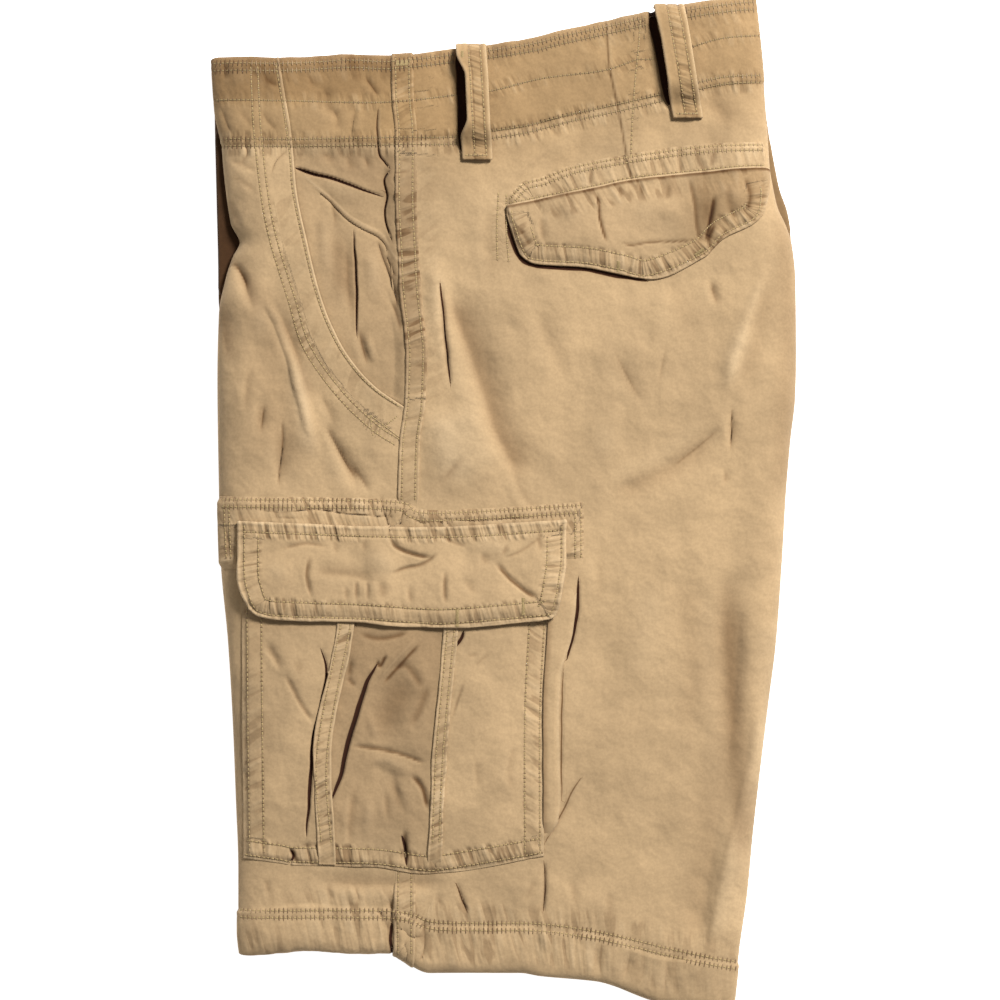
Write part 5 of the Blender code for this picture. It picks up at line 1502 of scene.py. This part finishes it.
class Sewing:
    """Stitches and the painted shade between them, laid on finished pieces and joined into one
    mesh.
    """

    def __init__(self, name, pieces, settings, seed):
        self.name, self.settings = name, settings
        self.trees = [BVHTree.FromObject(piece, bpy.context.evaluated_depsgraph_get())
                      for piece in pieces]
        self.random, self.seed = np.random.RandomState(seed), seed
        self.points, self.faces, self.darks = [], [], []
        angles = np.arange(STITCH_SIDES) * 2 * np.pi / STITCH_SIDES
        self.shapes, self.quads, self.count = [], [], 0
        for rings in (STITCH_RINGS, DENT_SHADE_RINGS):
            self.shapes.append(np.array(
                [(run, spread * np.cos(a), spread * np.sin(a))
                 for run, spread in rings for a in angles]))
            corners = [(ring * STITCH_SIDES + i, ring * STITCH_SIDES + (i + 1) % STITCH_SIDES)
                       for ring in range(len(rings) - 1) for i in range(STITCH_SIDES)]
            self.quads.append(np.array(
                [(a, a + STITCH_SIDES, b + STITCH_SIDES, b) for a, b in corners]))

    def touch(self, x, y):
        """The highest place of the pieces there, and the direction out of it."""
        best = None
        for tree in self.trees:
            spot, normal, _, _ = tree.ray_cast(
                Vector((x * METRES, y * METRES, 0.1)), Vector((0, 0, -1)))
            if spot is not None and (best is None or spot.z > best[0].z):
                best = spot, normal
        return best

    def stitch(self, x, y, direction, length, width, rise=0.42, dark=0.0):
        """One stitch, half sunk in the cloth, or one flat dark mark of painted shade between
        stitches.
        """
        found = self.touch(x, y)
        if found is None:
            return
        spot, up = np.array(found[0]) / METRES, np.array(found[1])
        if up[2] < 0:
            up = -up
        ahead = np.array((direction[0], direction[1], 0.0))
        ahead -= up * ahead.dot(up)
        ahead /= max(np.linalg.norm(ahead), 1e-9)
        beside = np.cross(up, ahead)
        shape, quads = self.shapes[dark > 0], self.quads[dark > 0]
        body = (shape[:, :1] * ahead * length / 2 + shape[:, 1:2] * beside * width / 2
                + shape[:, 2:] * up * width * rise)
        self.faces.append(quads + self.count)
        self.points.append(body + spot + up * (THREAD_RISE if dark == 0 else DENT_SHADE_RISE))
        self.darks.append(np.full(len(shape), dark))
        self.count += len(shape)

    def row(self, line, start=0.0, end=0.0, keep=None, dent=0.6, reach=1.3):
        """Stitches along a line with painted shade of dents between; keep tells at which places
        there are any.
        """
        settings = self.settings
        pitch = settings.stitch_pitch
        stops = np.arange(start + 1.0, line.length - end - 1.0, pitch)
        stops = stops + 0.12 * self.random.randn(len(stops))
        places = np.concatenate((stops, stops + pitch / 2))
        x = np.interp(places, line.along, line.points[:, 0])
        y = np.interp(places, line.along, line.points[:, 1])
        tx = np.interp(places, line.along, line.tangents[:, 0])
        ty = np.interp(places, line.along, line.tangents[:, 1])
        uneven = np.clip(0.8 + 0.5 * noise(places, 0 * places, 12.0, self.seed), 0.25, 1.1)
        for i in range(len(places)):
            if keep is not None and not keep(x[i], y[i]):
                continue
            spread = 1 + 0.08 * self.random.randn()
            if i < len(stops):
                self.stitch(x[i], y[i], (tx[i], ty[i]), settings.stitch_length * spread,
                            settings.stitch_width)
            else:
                length = reach * spread * (0.7 + 0.4 * uneven[i])
                self.stitch(x[i], y[i], (-ty[i], tx[i]), length, DENT_SHADE_WIDTH, DENT_SHADE_HEIGHT,
                            dent * uneven[i])

    def bartack(self, points):
        """A short bar of close stitches across a line."""
        line = Line(points)
        for stop in np.arange(0, line.length, TACK_PITCH):
            x = np.interp(stop, line.along, line.points[:, 0])
            y = np.interp(stop, line.along, line.points[:, 1])
            i = int(np.clip(stop, 0, len(line.tangents) - 1))
            tx, ty = line.tangents[i]
            length = TACK_WIDTH * (1 + 0.1 * self.random.randn())
            self.stitch(x, y, (-ty, tx), length, TACK_THREAD)

    def finish(self, material, slot):
        """All the stitches of the group as one mesh."""
        return make_mesh(self.name, np.vstack(self.points), [np.vstack(self.faces)],
                         material, marks={"dark": np.concatenate(self.darks)})


def clear_of_loops(x, y):
    """Whether a place is out of the painted shadow in the gap beside each belt loop."""
    return all(abs(x - float(line(y))) > LOOP_GAP_REACH for line in LOOP_GAP_LINES)


def sew(built, settings):
    """Every row of topstitching and every bartack."""
    thread, tack = thread_material("thread", 1.0), thread_material("tack_thread", 0.95)
    band_thread = thread_material("band_thread", 0.75)
    panels = ("front", "facing", "seam", "back")
    loops = tuple(loop.name for loop in LOOPS)

    def group(name, keys, number):
        return Sewing(name, [built[key] for key in keys], settings, settings.seed + number)

    rows = group("stitches_waistband", panels, 0)
    edges, middle, lower = waist_rows()
    # Painted shade between stitches: darkest on the left of the waistband, darker at the edge rows.
    for lines, deeper, reach in ((edges, 1.18, 3.9), (lower, 1.0, 3.2)):
        for line in lines:
            for left, right, dent in ((-400, -40, 0.85), (-40, 40, 0.75), (40, 400, 0.55)):
                rows.row(line, 1.0, 1.0, lambda x, y: left < x <= right and clear_of_loops(x, y),
                         dent * deeper, reach)
    rows.row(middle, 1.0, 1.0, clear_of_loops, 0.7, 1.6)
    rows.finish(band_thread, "twill")

    rows = group("stitches_leg", panels, 1)
    for line in hem_rows():
        rows.row(line, 1.0, 1.0, None, 0.75, 3.4)
    mouth = Line(MOUTH_ROW)
    for line in (mouth, mouth.offset(-DOUBLE_ROW)):
        rows.row(line, 2.0, 1.0)
    rows.row(upright(POCKET_MOUTH, -1.9), 2.0, 3.0)
    rows.row(Line(DART_ROW), 2.0, 1.0)
    for points in WELT_ROWS:
        rows.row(Line(points), dent=0.3)
    for cross in (((-83, 54.5), (-64, 40)), ((-82, 42), (-65, 55)), ((-83, 54.5), (-82, 42))):
        rows.row(Line(cross), dent=0.2, reach=0.9)
    rows.finish(thread, "twill")

    rows = group("stitches_side_seam", ("seam",), 2)
    for distance in SEAM_ROWS:
        rows.row(upright(SIDE_SEAM).offset(distance), 1.0, 1.0, lambda x, y: y > 2 or y < -226)
    rows.finish(thread, "twill")

    rows = group("stitches_back_pocket", ("back_flap", "back_band"), 3)
    edge, upper = Line(BACK_FLAP_RIM), Line(BACK_BAND_TOP)
    for (distance, _), ends in zip(BACK_FLAP_ROWS, ((1.0, 3.0), (12.0, 12.0))):
        rows.row(edge.offset(distance), *ends)
    for distance in BACK_BAND_ROWS:
        rows.row(upper.offset(distance), 0.0, 0.0, None, 0.5, 2.8)
    rows.row(row_line(BACK_FLAP_TOP, -2.4), 1.0, 4.0)
    rows.finish(thread, "twill_pocket")

    rows = group("stitches_cargo_pocket", ("cargo_front", "cargo_pleat", "cargo_back"), 4)
    lines = pocket_lines()
    for key, offsets in POCKET_ROWS.items():
        for distance in offsets:
            rows.row(lines[key].offset(distance), 1.0, 1.0)
    rows.finish(thread, "twill_pocket")

    rows = group("stitches_pleat", ("strip_front", "strip_back"), 5)
    for points, width in ((PLEAT_FRONT_LINE, PLEAT_FRONT_STRIP),
                          (PLEAT_BACK_LINE, PLEAT_BACK_STRIP)):
        for sign in (-1, 1):
            rows.row(upright(points[1:-1], sign * (width / 2 - STRIP_ROW)), 3.0, -4.0)
    rows.finish(thread, "twill_pocket")

    rows = group("stitches_cargo_flap", ("cargo_flap",), 6)
    edge = Line(CARGO_FLAP_RIM)
    for (distance, _), end in zip(FLAP_ROWS, (2.0, 8.0)):
        rows.row(edge.offset(distance), end, end)
    rows.row(Line(CARGO_FLAP_TOP).offset(FLAP_TOP_ROW), 2.0, 2.0)
    rows.finish(thread, "twill_pocket")

    rows = group("stitches_cargo_band", ("cargo_band",), 7)
    upper = Line(CARGO_BAND_TOP)
    for distance in BAND_ROWS:
        rows.row(upper.offset(distance), 1.0, 1.0, lambda x, y: x <= -60, 0.8, 4.0)
        rows.row(upper.offset(distance), 1.0, 1.0, lambda x, y: x > -60, 0.6, 3.4)
    for x in (44.2, 47.8):
        rows.row(Line(((x, -4), (x, -36))))
    for x in (-174.5, -171.5):
        rows.row(Line(((x, -1), (x + 1.5, -36))))
    rows.finish(thread, "twill_pocket")

    rows = group("stitches_belt_loops", loops, 8)
    for loop in LOOPS:
        edge = float(waist_edge(loop.top_x))
        lean = (loop.top_x - loop.foot_x) / (edge - loop.foot_y)
        top = edge - 1.0
        shift = (top - loop.foot_y) * lean
        for off in LOOP_ROWS:
            foot_x = loop.foot_x + off
            rows.row(Line(((foot_x, loop.foot_y + 1.5), (foot_x + shift, top))))
        foot = loop.foot_y + 2.2
        rows.row(Line(((loop.foot_x - 7.6, foot), (loop.foot_x + 7.6, foot))))
    rows.finish(thread, "twill")

    rows = group("bartacks", (*panels, *loops, "cargo_flap", "back_flap", "back_band"), 9)
    for points in (((-68, 274.8), (-58.5, 274.8)), ((-67, 273.2), (-59, 273.2)),
                   ((-29, -66), (-29, -77)), ((12, -59), (12, -70)), ((71, 150), (71, 143.5)),
                   ((-26, 277), (-26, 281)), ((44.5, -2), (49, -2)), ((119, 154), (124, 158))):
        rows.bartack(points)
    rows.finish(tack, "twill")


# ---- materials ----
class Nodes:
    """The nodes of one material; each input is given a socket or a value."""

    def __init__(self, name):
        self.material = bpy.data.materials.new(name)
        self.material.use_nodes = True
        self.tree = self.material.node_tree
        self.shader = self.tree.nodes["Principled BSDF"]

    def put(self, socket, value):
        """Links a socket to an input, or sets the input's value."""
        if isinstance(value, bpy.types.NodeSocket):
            self.tree.links.new(value, socket)
        else:
            socket.default_value = value

    def add(self, kind, inputs):
        """A new node with these inputs."""
        node = self.tree.nodes.new("ShaderNode" + kind)
        for key, value in inputs.items():
            self.put(node.inputs[key], value)
        return node

    def mark(self, layer):
        """What the cloth's mesh carries under a name."""
        node = self.add("Attribute", {})
        node.attribute_name = layer
        return node.outputs["Fac"]

    def maths(self, operation, first, second):
        """A sum on two values."""
        node = self.add("Math", {0: first, 1: second})
        node.operation = operation
        return node.outputs[0]

    def mapped(self, value, low, high, to_low, to_high):
        """A value's stretch from low to high, mapped smoothly onto another."""
        node = self.add("MapRange", {})
        node.interpolation_type = "SMOOTHSTEP"
        for key, setting in (("Value", value), ("From Min", low), ("From Max", high),
                             ("To Min", to_low), ("To Max", to_high)):
            self.put(node.inputs[key], setting)
        return node.outputs["Result"]

    def noise(self, place, scale, detail, roughness=0.5):
        """Noise, scaled by its places' unit."""
        return self.add("TexNoise", {"Vector": place, "Scale": scale, "Detail": detail,
                                     "Roughness": roughness}).outputs["Fac"]

    def mixed(self, factor, first, second, mode="MIX"):
        """A mix of two colours."""
        node = self.add("Mix", {})
        node.data_type, node.blend_type = "RGBA", mode
        for index, value in ((0, factor), (6, first), (7, second)):
            self.put(node.inputs[index], value)
        return node.outputs[2]

    def near(self, value, middle, width):
        """1 where a value is at the middle, falling to 0 a width away."""
        off = self.maths("ABSOLUTE", self.maths("SUBTRACT", value, middle), 0.0)
        return self.mapped(off, 0.0, width, 1.0, 0.0)


def twill(name, strength):
    """Washed cotton twill: pale where rubbed, with painted highlights on ridges and gathers,
    painted shade in the folds, gathers and gaps, woven.
    """
    settings = bpy.context.scene.folded_shorts
    nodes = Nodes(name)
    shader = nodes.shader
    shader.inputs["Roughness"].default_value = 0.92
    shader.inputs["Specular IOR Level"].default_value = 0.12
    shader.inputs["Sheen Weight"].default_value = 0.07
    shader.inputs["Sheen Roughness"].default_value = 0.5
    place = nodes.add("TexCoord", {}).outputs["Object"]
    apart = nodes.add("SeparateXYZ", {"Vector": place})
    drift = [nodes.maths("MULTIPLY", apart.outputs[axis], 24.0) for axis in ("X", "Y")]
    along = nodes.add("CombineXYZ", {"X": nodes.mark("run"), "Y": drift[0], "Z": drift[1]})

    gather = nodes.mark("gather")
    gathers = nodes.noise(along.outputs["Vector"], 1.6, 1.2)
    # Painted shade in the gathers' valleys and thin lines, a painted highlight on their ridges.
    valley = nodes.maths("MULTIPLY", nodes.mapped(gathers, 0.37, 0.45, 1.0, 0.0), gather)
    thin = nodes.maths("MULTIPLY", nodes.near(gathers, 0.5, 0.035), gather)
    ridge = nodes.maths("MULTIPLY", nodes.mapped(gathers, 0.53, 0.66, 0.0, 1.0), gather)
    across = nodes.maths("ABSOLUTE", nodes.mark("off"), 0.0)
    slit = nodes.maths("MULTIPLY", nodes.mapped(across, 0.75, 1.25, 1.0, 0.0), nodes.mark("slit"))
    crumple = nodes.noise(place, 38.0, 3.0)

    cloth = [value * strength for value in settings.cloth] + [1.0]
    colour = nodes.mixed(nodes.mark("tone"), cloth, (*settings.band, 1.0))
    # Rubbed paleness plus painted highlights on the gathers' ridges.
    wear = nodes.maths("MULTIPLY_ADD", ridge, 0.40)
    nodes.put(wear.node.inputs[2], nodes.mark("wear"))
    colour = nodes.mixed(wear, colour, (*settings.worn_and_highlit, 1.0))
    blotch = nodes.mapped(nodes.noise(place, 24.0, 4.0), 0.3, 0.7, 0.90, 1.08)
    grain = nodes.mapped(nodes.noise(place, 620.0, 2.0), 0.3, 0.7, 0.95, 1.05)
    for amount in (blotch, grain):
        grey = nodes.add("CombineColor", {"Red": amount, "Green": amount, "Blue": amount})
        colour = nodes.mixed(1.0, colour, grey.outputs["Color"], "MULTIPLY")
    # Painted shade from the mesh, the gathers and the gaps.
    shade = nodes.mark("shade")
    for amount, share in ((valley, 0.42), (thin, 0.05), (slit, 1.0)):
        shade = nodes.maths("ADD", shade, nodes.maths("MULTIPLY", amount, share))
    # The painted shade runs from white through the half-shaded fold tint to the deep-fold colour.
    tint = nodes.add("ValToRGB", {"Fac": nodes.maths("MINIMUM", shade, 1.0)})
    ramp = tint.color_ramp
    ramp.elements[0].color = (1.0, 1.0, 1.0, 1.0)
    ramp.elements[1].color = (*settings.shaded, 1.0)
    ramp.elements.new(0.6).color = (*settings.folded, 1.0)
    colour = nodes.mixed(1.0, colour, tint.outputs["Color"], "MULTIPLY")
    nodes.put(shader.inputs["Base Color"], colour)

    relief = nodes.maths("MULTIPLY", nodes.maths("SUBTRACT", gathers, 0.5), gather)
    relief = nodes.maths("ADD", relief, nodes.maths("MULTIPLY", crumple, 1.1))
    folded = nodes.add("Bump", {"Height": relief, "Strength": 1.0, "Distance": 0.0030})
    turned = nodes.add("Mapping", {"Vector": place, "Rotation": (0.0, 0.0, 1.05)})
    weave = nodes.add("TexWave", {"Vector": turned.outputs["Vector"], "Scale": 520.0,
                                  "Distortion": 1.2, "Detail": 1.0})
    fibres = nodes.noise(place, 900.0, 3.0, 0.6)
    threads = nodes.maths("ADD", weave.outputs["Fac"], fibres)
    woven = nodes.add("Bump", {"Height": threads, "Strength": 0.3, "Distance": 0.0002,
                               "Normal": folded.outputs["Normal"]})
    nodes.put(shader.inputs["Normal"], woven.outputs["Normal"])
    return nodes.material


def thread_material(name, strength):
    """Sewing thread, a little shinier than the cloth, and the painted shade of the dents between
    stitches.
    """
    settings = bpy.context.scene.folded_shorts
    nodes = Nodes(name)
    thread = [value * strength for value in settings.thread] + [1.0]
    # Painted shade of the dents: the cloth's colour dimmed by the fold tint.
    hole_shade = [0.85 * value * factor
            for value, factor in zip(settings.cloth, settings.folded)] + [1.0]
    around = [value * 0.92 for value in settings.cloth] + [1.0]
    dark = nodes.mark("dark")
    colour = nodes.mixed(dark, around, hole_shade)
    colour = nodes.mixed(nodes.maths("GREATER_THAN", dark, 0.01), thread, colour)
    nodes.put(nodes.shader.inputs["Base Color"], colour)
    nodes.shader.inputs["Roughness"].default_value = 0.7
    nodes.shader.inputs["Specular IOR Level"].default_value = 0.3
    return nodes.material


# ---- stage ----
CAMERA_X, CAMERA_Y = -2.5, 1.9
CAMERA_PLANE = 12.0       # height at which the camera's view has the width of the field
FLOOR_REACH = 4.0         # in metres, from the middle to each side


def area_light(name, place, size, power):
    """A soft light that points at the middle of the floor."""
    data = bpy.data.lights.new(name, "AREA")
    data.shape, data.size, data.energy = "DISK", size, power
    light = bpy.data.objects.new(name, data)
    bpy.context.scene.collection.objects.link(light)
    light.location = place
    light.rotation_euler = (-Vector(place)).to_track_quat("-Z", "Y").to_euler()


def make_stage(settings):
    """The pale floor, the light of a small studio and a camera straight above."""
    scene = bpy.context.scene
    data = bpy.data.meshes.new("floor")
    corners = [(FLOOR_REACH * a, FLOOR_REACH * b, 0)
               for a, b in ((-1, -1), (1, -1), (1, 1), (-1, 1))]
    data.from_pydata(corners, [], [(0, 1, 2, 3)])
    floor = bpy.data.objects.new("floor", data)
    floor.location = (0.0, 0.0, -0.0003)
    material = bpy.data.materials.new("floor_white")
    material.use_nodes = True
    shader = material.node_tree.nodes["Principled BSDF"]
    shader.inputs["Base Color"].default_value = (0.90, 0.90, 0.90, 1.0)
    shader.inputs["Roughness"].default_value = 1.0
    shader.inputs["Emission Color"].default_value = (1.0, 1.0, 1.0, 1.0)
    shader.inputs["Emission Strength"].default_value = settings.floor_light
    shader.inputs["Specular IOR Level"].default_value = 0.0
    data.materials.append(material)
    scene.collection.objects.link(floor)

    area_light("key", (2.04, 2.44, 2.96), 1.1, settings.key_power)
    area_light("fill", (-0.9, -0.5, 1.5), 1.6, settings.fill_power)
    world = bpy.data.worlds.new("studio")
    world.use_nodes = True
    background = world.node_tree.nodes["Background"]
    background.inputs["Color"].default_value = (1.0, 1.0, 1.0, 1.0)
    background.inputs["Strength"].default_value = settings.room_light
    scene.world = world

    lens = bpy.data.cameras.new("camera")
    lens.lens, lens.sensor_width = 135.0, 36.0
    camera = bpy.data.objects.new("camera", lens)
    distance = settings.field_width * lens.lens / lens.sensor_width
    camera.location = (CAMERA_X * METRES, CAMERA_Y * METRES, CAMERA_PLANE * METRES + distance)
    scene.collection.objects.link(camera)
    scene.camera = camera
    scene.view_settings.view_transform = "Standard"


# ---- the add-on ----
built = {}


class SHORTS_OT_hidden(bpy.types.Operator):
    """Make the layers that lie folded beneath"""

    bl_idname = "shorts.hidden"
    bl_label = "Hidden layers"

    def execute(self, context):
        hidden_layers(context.scene.folded_shorts.seed)
        return {"FINISHED"}


class SHORTS_OT_panels(bpy.types.Operator):
    """Make the front, the back, the side seam and the cloth in the hand pocket's mouth"""

    bl_idname = "shorts.panels"
    bl_label = "Panels"

    def execute(self, context):
        settings = context.scene.folded_shorts
        for key, make in (("front", front_panel), ("facing", pocket_facing),
                          ("seam", side_seam), ("back", back_panel)):
            built[key] = make(settings.cell, settings.seed)
        return {"FINISHED"}


class SHORTS_OT_back_pocket(bpy.types.Operator):
    """Make the back pocket's flap and band"""

    bl_idname = "shorts.back_pocket"
    bl_label = "Back pocket"

    def execute(self, context):
        settings = context.scene.folded_shorts
        built["back_flap"] = back_flap(settings.cell, settings.seed)
        built["back_band"] = back_pocket_band(settings.cell, settings.seed)
        return {"FINISHED"}


class SHORTS_OT_cargo_pocket(bpy.types.Operator):
    """Make the cargo pocket with its pleat, strips, gusset, band and flap"""

    bl_idname = "shorts.cargo_pocket"
    bl_label = "Cargo pocket"

    def execute(self, context):
        settings = context.scene.folded_shorts
        names = ("cargo_front", "cargo_pleat", "cargo_back")
        built.update(zip(names, cargo_body(settings.cell, settings.seed)))
        built.update(zip(("strip_front", "strip_back"), cargo_strips(settings.cell, settings.seed)))
        built["bellows"] = cargo_bellows(settings.cell, settings.seed)
        built["cargo_band"] = cargo_band(settings.cell, settings.seed)
        built["cargo_flap"] = cargo_flap(settings.cell, settings.seed)
        return {"FINISHED"}


class SHORTS_OT_loops(bpy.types.Operator):
    """Make the belt loops"""

    bl_idname = "shorts.loops"
    bl_label = "Belt loops"

    def execute(self, context):
        seed = context.scene.folded_shorts.seed
        for loop in LOOPS:
            built[loop.name] = belt_loop(loop, seed)
        return {"FINISHED"}


class SHORTS_OT_sewing(bpy.types.Operator):
    """Lay the stitches and bartacks on the finished pieces"""

    bl_idname = "shorts.sewing"
    bl_label = "Sewing"

    def execute(self, context):
        sew(built, context.scene.folded_shorts)
        return {"FINISHED"}


class SHORTS_OT_stage(bpy.types.Operator):
    """Make the floor, the lights and the camera"""

    bl_idname = "shorts.stage"
    bl_label = "Stage"

    def execute(self, context):
        make_stage(context.scene.folded_shorts)
        return {"FINISHED"}


class SHORTS_PT_panel(bpy.types.Panel):
    """Settings and steps, in the sidebar"""

    bl_idname = "SHORTS_PT_panel"
    bl_label = "Folded cargo shorts"
    bl_space_type = "VIEW_3D"
    bl_region_type = "UI"
    bl_category = "Shorts"

    def draw(self, context):
        settings = context.scene.folded_shorts
        for name in ShortsSettings.__annotations__:
            self.layout.prop(settings, name)
        for step in STEPS:
            self.layout.operator(step.bl_idname)


STEPS = (SHORTS_OT_stage, SHORTS_OT_hidden, SHORTS_OT_panels, SHORTS_OT_back_pocket,
         SHORTS_OT_cargo_pocket, SHORTS_OT_loops, SHORTS_OT_sewing)
CLASSES = (ShortsSettings, *STEPS, SHORTS_PT_panel)


def register():
    """Makes the settings, the steps and the panel known to Blender."""
    for item in CLASSES:
        bpy.utils.register_class(item)
    bpy.types.Scene.folded_shorts = PointerProperty(type=ShortsSettings)


def unregister():
    """Takes them away again."""
    del bpy.types.Scene.folded_shorts
    for item in reversed(CLASSES):
        bpy.utils.unregister_class(item)


def main():
    """Runs every step in order."""
    register()
    bpy.ops.shorts.stage()
    bpy.ops.shorts.hidden()
    bpy.ops.shorts.panels()
    bpy.ops.shorts.back_pocket()
    bpy.ops.shorts.cargo_pocket()
    bpy.ops.shorts.loops()
    bpy.ops.shorts.sewing()


if __name__ == "__main__":
    main()
